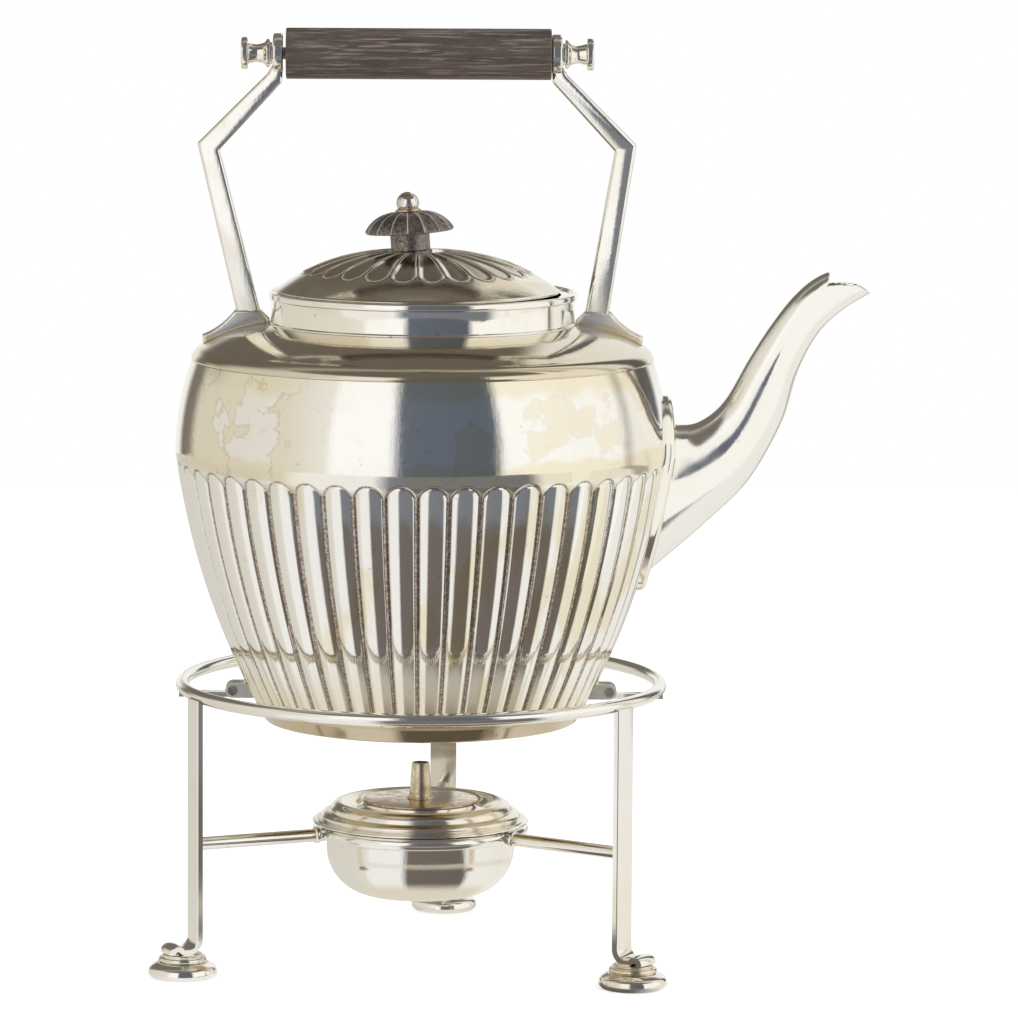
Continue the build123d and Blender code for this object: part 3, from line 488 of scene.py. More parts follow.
def dark_wood(name):
    """Dark wood with pale streaks along X."""
    material, n, shader = new_material(name)
    along = n.place(scale=(0.055, 1.0, 1.0))
    fibre = n.noise(along, 900.0, 6.0, 0.7, 0.3)
    broad = n.noise(n.place(scale=(0.10, 1.0, 1.0), shift=(0.1, 0.2, 0.0)), 160.0, 4.0, 0.6, 0.4)
    base = n.ramp(broad, [(0.30, (0.055, 0.040, 0.032)), (0.70, (0.145, 0.108, 0.088))])
    pale = n.smooth(fibre, 0.50, 0.62)
    colour = n.mix(n.times(pale, 0.70), base, (0.34, 0.28, 0.235))
    rough = n.smooth(fibre, 0.3, 0.7, 0.34, 0.55)
    height = n.rest(n.smooth(fibre, 0.52, 0.66))
    wire_up(n, shader, colour, rough, height, 0.30, 0.0004, 0.0)
    return material


def cotton(name):
    """Woven wick, charred at its top."""
    material, n, shader = new_material(name)
    weave = n.noise(n.place(scale=(1, 1, 0.35)), 2200.0, 3.0, 0.6)
    height = n.add("ShaderNodeSeparateXYZ", {0: n.place()}).outputs["Z"]
    char = n.smooth(height, 0.070, 0.079)
    pale = n.ramp(weave, [(0.3, (0.36, 0.31, 0.24)), (0.7, (0.72, 0.66, 0.54))])
    colour = n.mix(char, pale, (0.035, 0.030, 0.027))
    wire_up(n, shader, colour, 0.9, weave, 0.5, 0.0004, 0.0)
    return material


mat_body = body_plate("plate_body")
mat_shoulder = plated("plate_shoulder", tarnish=0.7, warm=0.60, rough=0.08, dirt=0.26)
mat_collar = plated("plate_collar", tarnish=0.45, patches=0.25, rough=0.06)
mat_base = plated("plate_base", tarnish=1.0, warm=0.75, rough=0.13, dirt=0.5)
mat_spout = plated("plate_spout", tarnish=0.30, rough=0.11)
mat_plate_edge = plated("plate_escutcheon", tarnish=0.7, warm=0.2, rough=0.10)
mat_bar = bar_plate("plate_bar")
mat_wire = plated("plate_wire", tarnish=0.45, rough=0.10)
mat_leg = plated("plate_leg", tarnish=0.40, rough=0.10, scratches=0.8)
mat_foot = plated("plate_foot", tarnish=0.60, rough=0.12, warm=0.08)
mat_washer = plated("plate_washer", tarnish=0.9, rough=0.16, warm=0.25, dirt=0.12)
mat_bowl = plated("plate_bowl", tarnish=0.35, rough=0.06, scratches=0.9)
mat_cover = plated("plate_cover", tarnish=0.8, rough=0.12, warm=0.30, dirt=0.06)
mat_finial = plated("plate_finial", tarnish=0.55, rough=0.08, warm=0.10)
mat_ball = brass("rosy_silver", light=(0.92, 0.84, 0.79), dark=(0.70, 0.58, 0.52), rough=0.10)
mat_lid = aged_lid("plate_lid")
mat_knob = aged_knob("plate_knob")
mat_brass = brass("old_brass", light=(0.86, 0.76, 0.57), dark=(0.46, 0.35, 0.21))
mat_lug = plated("plate_lug", tarnish=0.4, rough=0.36)
mat_disc = brass("brass_disc", light=(0.82, 0.70, 0.52), dark=(0.42, 0.31, 0.20), rough=0.16)
mat_steel = brass("dull_steel", light=(0.52, 0.50, 0.46), dark=(0.20, 0.18, 0.15), rough=0.30)
mat_wood = dark_wood("dark_wood")
mat_cotton = cotton("wick_cotton")


def mark_points(piece, name, values):
    """Keep one value a point on the mesh, for its material."""
    layer = piece.data.attributes.new(name, "FLOAT", "POINT")
    layer.data.foreach_set("value", values)


def across_pitch(half, power):
    """Places from -1 up to 1 across one pitch, closer together at its ends."""
    return [math.copysign(abs(k / half) ** power, k) for k in range(-half, half)]


def round_pitches(count, start, steps):
    """Angle and place across its pitch of each point round a piece."""
    for i in range(count):
        middle = math.radians(start) + (i + 0.5) * 2 * math.pi / count
        for s in steps:
            yield middle + s * math.pi / count, s


def eased(t):
    """Smooth step of a share from 0 to 1."""
    return t * t * (3 - 2 * t)


# Kettle body: a lobed skin
def crest(z):
    """Outer radius of the lobes' crests, and of the lower wall, at a height."""
    x, zc, radius = circle_through(BODY_FOOT, BODY_WAIST, BODY_MAX)
    return x + math.sqrt(radius ** 2 - (z - zc) ** 2)


def plain(z):
    """Outer radius of the wall above the lobes."""
    if z <= BODY_MAX[1]:
        return crest(z)
    x, zc, radius = circle_through(BODY_MAX, BODY_NECK, BODY_TOP)
    return x + math.sqrt(radius ** 2 - (z - zc) ** 2)


LINE_W = 0.62           # half width of the chased line round a lobe
LINE_DEPTH = 0.34
LOBE_FULL_R = 98        # the lobes grow shallower where the wall is narrower than this


def lobed(z, across):
    """Outer radius and groove mark, at a height and at -1 to 1 across the pitch."""
    top = plain(z)
    pitch = math.pi * top / LOBES
    width = pitch * LOBE_SHARE
    depth = LOBE_DEPTH * min(top / LOBE_FULL_R, 1)
    x = abs(across) * pitch
    side = min(x / width, 1)
    lobe = top - depth * side ** 2
    upper_z, lower_z = LOBE_TOP_Z - width, LOBE_FOOT_Z + width
    rise = 0.0
    if z > upper_z:
        rise = min((z - upper_z) / width, 1)
        outline = math.hypot(x, z - upper_z) - width
    elif z < lower_z:
        rise = min((lower_z - z) / width, 1)
        outline = math.hypot(x, lower_z - z) - width
    else:
        outline = x - width
    field = top - depth * (1 - eased(rise))
    radius = max(lobe, field)
    line = max(0.0, 1 - (outline / LINE_W) ** 2) ** 2 if abs(outline) < LINE_W else 0.0
    dome = max(0.0, 1 + outline / width) ** 4 if outline < 0 and rise > 0 else 0.0
    strip = max(0.0, 1 - rise * 1.25) if outline > 0 else 0.0
    mark = max(line, strip)
    return radius - LINE_DEPTH * line - 0.35 * dome * rise, mark


def make_body():
    """Lobed wall over a smooth inside."""
    def spread(low, high, count):
        return [low + (high - low) * i / count for i in range(count)]

    # The rows lie closer together where the lobes end
    foot_z, arch_z, above_z = 111.5, 195.0, 205.0
    rows = spread(BODY_FOOT[1], foot_z, 20) + spread(foot_z, arch_z, 36) + spread(arch_z, above_z, 30)
    rows += spread(above_z, BODY_TOP[1], 34) + [BODY_TOP[1]]
    steps = across_pitch(12, 0.8)
    points = list(round_pitches(LOBES, -90 + LOBE_PHASE, steps))
    grid, marks = [], []
    for z in rows:
        values = {s: lobed(z, s) for s in steps}
        grid.append([(values[s][0] * math.cos(t), values[s][0] * math.sin(t), z) for t, s in points])
        marks += [values[s][1] for t, s in points]
    for z in reversed(rows[::6] + [rows[-1]]):
        radius = plain(z) - WALL - (LOBE_DEPTH if z < LOBE_TOP_Z else 0)
        grid.append([(radius * math.cos(t), radius * math.sin(t), z) for t, s in points])
        marks += [0.0] * len(points)
    bm = bmesh.new()
    skin(bm, grid)
    piece = finish_mesh("kettle_wall", bm, "kettle", mat_body, ["kettle_body"], sharp=60)
    mark_points(piece, "groove", marks)


make_body()

lathe("kettle_base_shell", rounded([
    BODY_FOOT, (66.2, 103.4, 0.3), (62.9, 98.2, 1.4), (57.0, 97.0, 0.8), (0, 96.4),
    (0, 97.6), (56.4, 98.2), (61.2, 98.8), (65.4, BODY_FOOT[1])]), "kettle", mat_base, ["kettle_base"])

shoulder = [(91.4, BODY_TOP[1]), (92.4, BODY_TOP[1])]
shoulder += arc((92.9, 244.8), (91.6, 247.3), (88.6, 249.6), 14)
shoulder += arc((88.6, 249.6), (76.5, 255.4), (61.0, 258.7), 24)
shoulder += [(61.0, 258.7), (59.0, 258.7), (59.0, 253.8)]
shoulder += arc((60.0, 253.8), (75.0, 251.6), (88.0, 248.2), 12) + [(91.0, 245.4)]
lathe("kettle_shoulder_plate", shoulder, "kettle", mat_shoulder, ["kettle_shoulder"])

collar = rounded([
    (60.0, 257.6), (61.9, 257.6), (61.9, 259.0, 0.5), (61.0, 259.4, 0.2), (61.0, 268.5, 0.3),
    (61.9, 268.6, 0.4), (61.9, 271.3, 0.8), (60.2, 271.3, 0.4), (60.2, 270.4), (55.4, 270.4, 0.2),
    (55.4, 269.4), (60.0, 269.4),
], closed=False)
lathe("kettle_collar_ring", collar, "kettle", mat_collar, ["kettle_collar"])


# Spout
SPOUT_STATIONS = [          # top point, bottom point and width of each section
    ((90.0, 221.0), (76.0, 146.0), 33.0),
    ((104.5, 218.0), (92.5, 159.5), 30.0),
    ((113.0, 220.2), (113.5, 177.8), 25.5),
    ((121.5, 228.0), (131.0, 195.3), 21.5),
    ((131.0, 244.6), (144.6, 219.4), 18.0),
    ((139.2, 257.6), (151.0, 240.2), 15.8),
    ((148.4, 269.6), (158.8, 255.2), 14.4),
    ((158.5, 278.0), (168.6, 264.8), 13.6),
    ((173.0, 283.5), (180.8, 272.4), 12.6),
]
MOUTH_EDGE = [              # notched beak, from its top to its tip
    (163.0, 279.8), (162.2, 275.0), (168.5, 275.3), (174.6, 274.6), (179.6, 271.6)]


def smooth_through(points, steps):
    """Catmull-Rom points through a list of vectors."""
    result = []
    padded = [points[0] * 2 - points[1]] + points + [points[-1] * 2 - points[-2]]
    for i in range(len(points) - 1):
        a, b, c, d = padded[i:i + 4]
        for k in range(steps):
            t = k / steps
            result.append(0.5 * (2 * b + (c - a) * t + (2 * a - 5 * b + 4 * c - d) * t * t
                                 + (3 * b - a - 3 * c + d) * t ** 3))
    return result + [points[-1]]


def cut_with(piece, bm):
    """Cut a piece with the closed mesh bm, in millimetres."""
    mesh = bpy.data.meshes.new("cutter")
    bmesh.ops.recalc_face_normals(bm, faces=bm.faces)
    bm.transform(Matrix.Scale(MM, 4))
    bm.to_mesh(mesh)
    bm.free()
    tool = bpy.data.objects.new("cutter", mesh)
    tool.location = AXIS
    bpy.context.scene.collection.objects.link(tool)
    modifier = piece.modifiers.new("cut", "BOOLEAN")
    modifier.operation, modifier.object, modifier.solver = "DIFFERENCE", tool, "EXACT"
    bpy.context.view_layer.update()
    result = bpy.data.meshes.new_from_object(piece.evaluated_get(bpy.context.evaluated_depsgraph_get()))
    piece.modifiers.clear()
    piece.data = result
    bpy.data.objects.remove(tool)


def make_spout():
    """Hollow spout, cut to its beak and to the wall."""
    count, wall_t = 72, 1.0
    outlines = smooth_through([Vector((*up, *low)) for up, low, width in SPOUT_STATIONS], 8)
    widths = smooth_through([Vector((width, 0)) for up, low, width in SPOUT_STATIONS], 8)
    outer, inner = [], []
    for o, w in zip(outlines, widths):
        up, low = Vector((o.x, 0, o.y)), Vector((o.z, 0, o.w))
        centre, half = (up + low) / 2, (up - low) / 2
        for rows, wall in ((outer, 0.0), (inner, wall_t)):
            tall = half * (1 - wall / half.length)
            wide = w.x / 2 - wall
            angles = [2 * math.pi * j / count for j in range(count)]
            rows.append([centre + tall * math.cos(t) + Vector((0, wide * math.sin(t), 0)) for t in angles])
    bm = bmesh.new()
    skin(bm, outer + list(reversed(inner)))
    piece = finish_mesh("spout_neck", bm, "kettle", mat_spout, ["spout"])
    # The mouth's notched edge, then the part that reaches into the wall
    reach = 30.0
    beak, tip = MOUTH_EDGE[0], MOUTH_EDGE[-1]
    cutter = bmesh.new()
    edge = MOUTH_EDGE + [(tip[0] + reach, tip[1]), (tip[0] + reach, beak[1] + reach)]
    edge.append((beak[0], beak[1] + reach))
    prism_into(cutter, edge, depth=reach, bevel=0.01, steps=1)
    cut_with(piece, cutter)
    body = bmesh.new()
    outline = [(0, 120.0)] + [(plain(z) - 0.3, z) for z in range(120, 240, 3)] + [(0, 237.0)]
    lathe_into(body, outline, 128)
    weld(body)
    cut_with(piece, body)


make_spout()


def make_spout_plate():
    """Oval plate that follows the wall, with a rounded rim."""
    mid_z, half_h, half_w, thick, rim = 190.2, 39.5, 20.0, 3.2, 1.6
    count, rings = 96, 5
    bm = bmesh.new()
    rows = []
    levels = [(0.0, 1.0), (thick - rim, 1.0)]       # distance out from the wall, and share of the full width
    for k in range(1, rings + 1):
        angle = math.pi / 2 * k / rings
        levels.append((thick - rim + rim * math.sin(angle), 1 - rim / half_w * (1 - math.cos(angle))))
    levels += [(thick, 0.8), (thick, 0.5), (0.0, 0.5)]
    for out, share in levels:
        row = []
        for j in range(count):
            t = 2 * math.pi * j / count
            y = half_w * share * math.cos(t)
            z = mid_z + half_h * (1 - (1 - share) * half_w / half_h) * math.sin(t)
            radius = plain(z) + out - (LOBE_DEPTH if out == 0 and z < LOBE_TOP_Z else 0)
            row.append((math.sqrt(max(radius ** 2 - y ** 2, 0)), y, z))
        rows.append(row)
    skin(bm, rows)
    finish_mesh("spout_plate_oval", bm, "kettle", mat_plate_edge, ["spout_plate"], sharp=50)


make_spout_plate()


# Handle
def make_upright(side):
    """Bent upright with its foot on the shoulder and its eye on the rod."""
    lean = HANDLE_LEAN
    eye = side * EYE_X + lean
    points = [Vector((side * 69.7, 262.0)), Vector((side * 83.4 + lean, 329.2)),
              Vector((side * 57.0 + lean, 356.6)), Vector((eye, EYE_Z - EYE_R * 0.6))]
    widths = [9.4, 8.2, 6.6, EYE_T]
    left, right = [], []
    for i, (point, width) in enumerate(zip(points, widths)):
        runs = [(points[j + 1] - points[j]).normalized() for j in (i - 1, i) if 0 <= j < len(points) - 1]
        mean = sum(runs[1:], runs[0]).normalized()
        reach = width / 2 / mean.dot(runs[0])
        normal = Vector((-mean.y, mean.x)) * reach
        left.append((*(point + normal), 1.2 if 0 < i < 3 else 0))
        right.append((*(point - normal), 1.2 if 0 < i < 3 else 0))
    bm = bmesh.new()
    prism_into(bm, rounded(left + right[::-1], count=4), depth=6.4, bevel=1.5, steps=4)
    # Slope of the front and back faces: they move with the distance from the bar's middle line
    half_bar = 4.5
    for vertex in bm.verts:
        for one, two in zip(points, points[1:]):
            if one.y - 4 <= vertex.co.z <= two.y:
                middle = one.x + (two.x - one.x) * (vertex.co.z - one.y) / (two.y - one.y)
                vertex.co.y -= HANDLE_TURN * max(min(vertex.co.x - middle, half_bar), -half_bar)
                break
    foot = [(61.6, 260.2), (65.0, 263.6)] + arc((75.4, 263.6), (80.4, 258.3), (88.4, 253.6), 10)
    foot += [(88.4, 253.6)] + arc((88.0, 249.7), (76.5, 255.0), (61.6, 258.2), 12) + [(61.6, 258.2)]
    foot = [(side * x, z) for x, z in foot]
    prism_into(bm, foot, depth=7.6, bevel=1.2, steps=4)
    cylinder_x(bm, EYE_R, eye - EYE_T / 2, eye + EYE_T / 2, EYE_Z, edge=0.8)
    name = "left" if side < 0 else "right"
    finish_mesh(f"upright_{name}", bm, "kettle", mat_bar, [f"handle_{name}"], sharp=40)


for hand in (-1, 1):
    make_upright(hand)

grip_mesh = bmesh.new()
cylinder_x(grip_mesh, GRIP_R, -55.1, 50.9, EYE_Z, 96, 0.6)
weld(grip_mesh)
finish_mesh("grip_wood_bar", grip_mesh, "grip", mat_wood, ["grip"])

FINIAL = [
    (0, 0), (4.4, 0, 0.2), (4.4, 0.9), (5.7, 0.9, 0.3), (5.7, 2.1, 0.5), (4.1, 3.4, 1.5), (3.4, 6.2, 3.0),
    (4.3, 9.7, 0.8), (6.4, 9.7, 0.5), (6.4, 12.4, 0.7), (0, 12.4)]


def make_finial(side):
    """Thumb nut on the rod's end."""
    name = "left" if side < 0 else "right"
    x = side * EYE_X + HANDLE_LEAN + side * (EYE_T / 2 + 0.3)
    place = Matrix.Translation((x, 0, EYE_Z)) @ Matrix.Rotation(math.radians(90 * side), 4, "Y")
    node = f"finial_{name}"
    lathe(f"thumb_nut_{name}", rounded(FINIAL), node, mat_finial, [node], 96, place)


for hand in (-1, 1):
    make_finial(hand)


# Lid
def lid_height(r):
    """Height of the lid's top at a radius."""
    x, z, radius = circle_through((LID_R, LID_RIM_Z), (44.5, 279.5), (LID_HUB_R, LID_TOP_Z))
    return z + math.sqrt(max(radius ** 2 - (r - x) ** 2, 0))


def petal(r, across):
    """Height, ridge mark and recess mark on the lid, at a radius and -1 to 1 across a petal's pitch."""
    share = 0.94        # share of the pitch that a petal fills
    ridge_w, ridge_h, hollow_depth, gap_depth = 0.42, 0.34, 0.42, 0.25
    pitch = math.pi * r / PETALS
    tip_r = PETAL_END_R / (1 + math.pi * share / PETALS)
    tip_w = math.pi * tip_r / PETALS * share
    x = abs(across) * pitch
    if r > tip_r:
        outline = math.hypot(x, r - tip_r) - tip_w
    else:
        outline = x - pitch * share
    ridge = max(0.0, 1 - ((outline + ridge_w) / ridge_w) ** 2) if abs(outline + ridge_w) < ridge_w else 0.0
    hollow = eased(min(max(-(outline + 2 * ridge_w) / 1.4, 0), 1))
    gap = max(0.0, 1 - abs(outline - 0.28) / 0.42)
    fade = min(max((r - 10.0) / 4.0, 0), 1)
    height = (ridge_h * ridge - hollow_depth * hollow - gap_depth * gap) * fade
    return height, ridge * fade, max(gap, hollow * 0.75) * fade


def make_lid():
    """Domed lid with a chased rosette."""
    chased_r = 47.5
    radii = [LID_HUB_R + (chased_r - LID_HUB_R) * (i / 76) for i in range(77)]
    radii += [chased_r + (LID_R - chased_r) * i / 14 for i in range(1, 15)]
    points = list(round_pitches(PETALS, -90, across_pitch(10, 0.72)))
    rows, ridges, recesses = [], [], []

    def row_at(r, z, chased):
        row = []
        for t, s in points:
            height, ridge, recess = petal(r, s) if chased else (0, 0, 0)
            row.append((LID_X + r * math.cos(t), r * math.sin(t), z + height))
            ridges.append(ridge)
            recesses.append(recess)
        rows.append(row)

    row_at(0.01, LID_TOP_Z, False)
    for r in radii:
        row_at(r, lid_height(r), True)
    for r, z in ((LID_R, LID_RIM_Z), (LID_R, 271.3), (56.7, 270.9), (56.2, 270.7), (53.0, 270.7)):
        row_at(r, z, False)
    for r in (50.0, 44.5, 35.0, 25.0, LID_HUB_R, 0.01):
        row_at(r, lid_height(min(r + 1, 56.9)) - 1.3, False)
    bm = bmesh.new()
    skin(bm, rows, closed_rows=False)
    piece = finish_mesh("lid_rosette", bm, "lid", mat_lid, ["lid_dome"], sharp=70)
    mark_points(piece, "ridge", ridges)
    mark_points(piece, "groove", recesses)


make_lid()

knob_place = Matrix.Translation((KNOB_X, 0, LID_TOP_Z)) @ Matrix.Rotation(math.radians(KNOB_LEAN), 4, "Y")
neck = [(0, -1.0), (8.6, -1.0), (8.6, 0.2, 0.3), (7.9, 0.6, 0.3), (7.9, 7.8), (0, 7.8)]
lathe("knob_neck", rounded(neck), "lid", mat_knob, ["knob_stem"], 128, knob_place)
lifted = knob_place @ Matrix.Translation((0, 0, CAP_LIFT))
lathe("knob_ring", rounded([(0, 14.4), (5.1, 14.4, 0.3), (5.1, 15.3, 0.3), (0, 15.3)]),
      "lid", mat_brass, ["knob_washer"], 96, lifted)
BALL_R, BALL_Z = 4.6, 19.2
angles = [math.radians(t) for t in range(-57, 91, 4)]
ball = [(BALL_R * math.cos(t), BALL_Z + BALL_R * math.sin(t)) for t in angles]
ball = [(0, 15.3)] + ball + [(0, BALL_Z + BALL_R)]
lathe("knob_top_ball", ball, "lid", mat_ball, ["knob_ball"], 96, knob_place)


def make_cap():
    """Fluted mushroom cap with rubbed ridges."""
    outline = [(0.01, 6.2), (17.2, 6.2), (17.75, 6.6), (17.8, 7.2)]
    outline += arc((17.8, 7.2), (13.5, 11.9), (5.4, 14.2), 30) + [(5.4, 14.2), (5.0, 14.5), (0.01, 14.5)]
    rim_z, crown_r = 6.5, 5.2       # the flutes lie between these
    ridge_w, flute_w, flute_depth = 0.40, 1.3, 0.42
    points = list(round_pitches(CAP_FLUTES, -92, across_pitch(10, 0.75)))
    rows, ridges = [], []
    for r, z in outline:
        fluted = z > rim_z and r > crown_r
        row = []
        for t, s in points:
            x = (1 - abs(s)) * math.pi * r / CAP_FLUTES
            ridges.append(max(0.0, 1 - x / ridge_w) if fluted else 0.0)
            drop = flute_depth * min(x / flute_w, 1) ** 0.7 if fluted else 0.0
            shrink = 1 - drop / 20
            row.append((r * shrink * math.cos(t), r * shrink * math.sin(t), z - drop * 0.6))
        rows.append(row)
    bm = bmesh.new()
    skin(bm, rows, closed_rows=False)
    piece = finish_mesh("knob_mushroom", bm, "lid", mat_knob, ["knob_cap"], 50, lifted)
    mark_points(piece, "ridge", ridges)


make_cap()


# Stand
def around(azimuth, distance=0.0):
    """Place on the stand: turned to an azimuth, then out from the axis."""
    return Matrix.Rotation(math.radians(azimuth), 4, "Z") @ Matrix.Translation((distance, 0, 0))


ring = torus_outline(RING_R, RING_WIRE_R, RING_Z)
lathe("ring_wire", ring, "stand", mat_wire, ["stand_ring"], 256)
holder = torus_outline(HOLDER_R, HOLDER_WIRE_R, HOLDER_Z)
lathe("burner_ring_wire", holder, "stand", mat_wire, ["burner_ring"], 160)

FOOT = [(0, 0), (12.4, 0, 0.4), (13.8, 1.5, 0.9), (13.4, 4.3, 2.4), (10.4, 6.0, 1.2), (0, 6.0)]
WASHERS = [
    (0, 6.0), (9.3, 6.0, 0.3), (9.7, 7.1, 0.7), (9.3, 8.2, 0.5), (8.1, 8.2), (8.1, WASHER_TOP_Z, 0.45),
    (0, WASHER_TOP_Z)]


def leg_path():
    """Points and directions along the strip's middle, in the leg's own XZ plane."""
    strip_z = WASHER_TOP_Z + LEG_T / 2
    half = math.radians(45)
    bend_mid = (LEG_R + LEG_BEND_R * (1 - math.cos(half)), strip_z + LEG_BEND_R * (1 - math.sin(half)))
    bend_end = (LEG_R + LEG_BEND_R, strip_z)
    path = [(LEG_R, RING_Z - 1.0), (LEG_R, strip_z + LEG_BEND_R)]
    path += arc(path[-1], bend_mid, bend_end, 8)[1:] + [bend_end]
    x, z, heading = FOOT_R + 1.0, strip_z, 0.0
    path.append((x, z))
    for radius, sweep in ((1.5, 55), (2.2, -150)):
        for k in range(12):
            step = math.radians(sweep) / 12
            heading += step / 2
            chord = 2 * radius * math.sin(abs(step) / 2)
            x, z = x + chord * math.cos(heading), z + chord * math.sin(heading)
            heading += step / 2
            path.append((x, z))
    return [Vector(p) for p in path]


def make_leg(place, turned):
    """Strip with a swelled outer face, swept along its path."""
    path = leg_path()
    crown = 7
    section = [(-LEG_W / 2, LEG_T / 2), (LEG_W / 2, LEG_T / 2)]
    for k in range(crown + 1):
        y = LEG_W / 2 - 0.25 - (LEG_W - 0.5) * k / crown
        section.append((y, -LEG_T / 2 - LEG_CROWN * (1 - (2 * y / LEG_W) ** 2)))
    section.insert(2, (LEG_W / 2, -LEG_T / 2 + 0.25))
    section.append((-LEG_W / 2, -LEG_T / 2 + 0.25))
    rows = []
    for i, point in enumerate(path):
        ahead = path[min(i + 1, len(path) - 1)] - path[max(i - 1, 0)]
        ahead.normalize()
        inward = Vector((ahead.y, -ahead.x))
        rows.append([Vector((point.x + inward.x * t, y, point.y + inward.y * t)) for y, t in section])
    bm = bmesh.new()
    capped_skin(bm, rows)
    finish_mesh(f"leg_strip_{place}", bm, "stand", mat_leg, [f"leg_{place}"], 40, turned)


def make_arm(place, turned):
    """Rod with a collar, from the leg to the burner ring."""
    bm = bmesh.new()
    rod_r, collar_r = 2.6, 3.3
    cylinder_x(bm, rod_r, HOLDER_R + 1.2, LEG_R - 0.2, HOLDER_Z, 48)
    cylinder_x(bm, collar_r, HOLDER_R + 3.5, HOLDER_R + 6.1, HOLDER_Z, 48, edge=0.9)
    weld(bm)
    finish_mesh(f"arm_rod_{place}", bm, "stand", mat_wire, [f"burner_arm_{place}"], 40, turned)


for where, azimuth in LEG_AZIMUTHS.items():
    turned = around(azimuth)
    make_leg(where, turned)
    make_arm(where, turned)
    spot = around(azimuth, FOOT_R)
    foot, washer = f"foot_{where}", f"foot_washer_{where}"
    lathe(f"foot_dome_{where}", rounded(FOOT), "stand", mat_foot, [foot], 96, spot)
    lathe(f"foot_step_{where}", rounded(WASHERS), "stand", mat_washer, [washer], 96, spot)

# Burner
bowl = [(0, 26.4), (12.0, 26.4)] + arc((17.0, 26.6), (32.6, 32.2), (37.9, 43.5), 28)
bowl += [(38.0, 45.0), (38.0, 56.1), (43.2, 56.1), (43.7, 56.3), (43.8, 56.5), (43.7, 56.8), (43.3, 56.9)]
bowl += [(37.0, 56.9), (37.0, 45.0)] + arc((17.0, 27.6), (31.9, 33.0), (36.9, 43.5), 16)[::-1] + [(0, 27.4)]
lathe("burner_bowl_shell", bowl, "burner", mat_bowl, ["burner_bowl"])
cover = [(42.0, 56.9), (42.4, 57.5, 0.3), (40.2, 57.5, 0.2), (40.9, 59.2, 1.6), (37.8, 60.6, 1.2)]
cover = rounded(cover, closed=False)
cover += arc((36.8, 60.5), (35.2, 63.6), (31.0, 64.0), 10) + arc((31.0, 64.0), (28.4, 63.0), (26.2, 61.6), 6)
cover += [(26.0, 61.5)] + arc((25.4, 61.5), (23.6, 62.3), (22.9, 63.9), 6)
cover += [(22.9, 63.9), (21.4, 63.9), (21.4, 60.6), (30.0, 60.2), (37.0, 57.0)]
lathe("burner_cover_rolls", cover, "burner", mat_cover, ["burner_cover"])
disc = [(2.9, 58.2), (20.9, 58.2, 0.4), (20.9, 64.2), (23.3, 64.2, 0.2), (23.3, 65.2, 0.4), (2.9, 65.2)]
lathe("wick_disc", rounded(disc), "wick_holder", mat_disc, ["wick_plate"])
pipe = [(2.9, 65.2), (5.3, 65.2, 0.2), (5.3, 66.0, 0.3), (4.5, 66.0), (3.6, 80.0, 0.2), (2.9, 80.0)]
lathe("wick_pipe", rounded(pipe), "wick_holder", mat_brass, ["wick_tube"], 96)
cord = [(0, 30.0), (2.7, 30.0), (2.7, 79.0, 0.8), (0, 79.0)]
lathe("wick_cord_end", rounded(cord), "wick_holder", mat_cotton, ["wick"], 48)

# Pieces kept from the frame
for node, material in {
    "hinge_bracket": mat_wire, "rest_bracket": mat_wire, "hinge_lug": mat_lug, "rest_lug": mat_lug,
    "lid_bezel": mat_collar, "pivot_pin": mat_steel, "rest_pin": mat_steel, "grip_rod": mat_steel,
}.items():
    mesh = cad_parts[node].data
    mesh.materials.clear()
    mesh.materials.append(material)


# Studio: azimuth 0 is towards the camera and rises towards +X
AROUND = [
    (-180, (0.92, 0.92, 0.90)), (-158, (0.95, 0.95, 0.93)), (-150, (0.20, 0.19, 0.17)),
    (-140, (0.24, 0.22, 0.20)), (-132, (0.72, 0.70, 0.64)), (-60, (0.80, 0.78, 0.72)),
    (-46, (0.86, 0.84, 0.78)), (-42, (1.05, 1.05, 1.05)), (-15, (1.05, 1.05, 1.05)),
    (-10, (0.13, 0.15, 0.19)), (34, (0.11, 0.13, 0.165)), (39, (1.05, 1.05, 1.03)),
    (106, (1.0, 0.99, 0.95)), (112, (0.55, 0.53, 0.48)), (118, (0.92, 0.90, 0.84)),
    (129, (0.90, 0.88, 0.82)), (133, (0.12, 0.12, 0.13)), (147, (0.14, 0.14, 0.15)),
    (153, (0.95, 0.95, 0.95)), (180, (0.92, 0.92, 0.90)),
]
CEILING = (0.17, 0.155, 0.135)


def around_colour(n, x, y, narrow=1.0):
    """Colour of the studio's walls by direction."""
    turn = n.times(n.math("ARCTAN2", x, n.times(y, -1.0)), narrow)
    fraction = n.scaled(turn, 1 / (2 * math.pi), 0.5)
    return n.ramp(fraction, [(0.5 + azimuth / 360, c) for azimuth, c in AROUND])


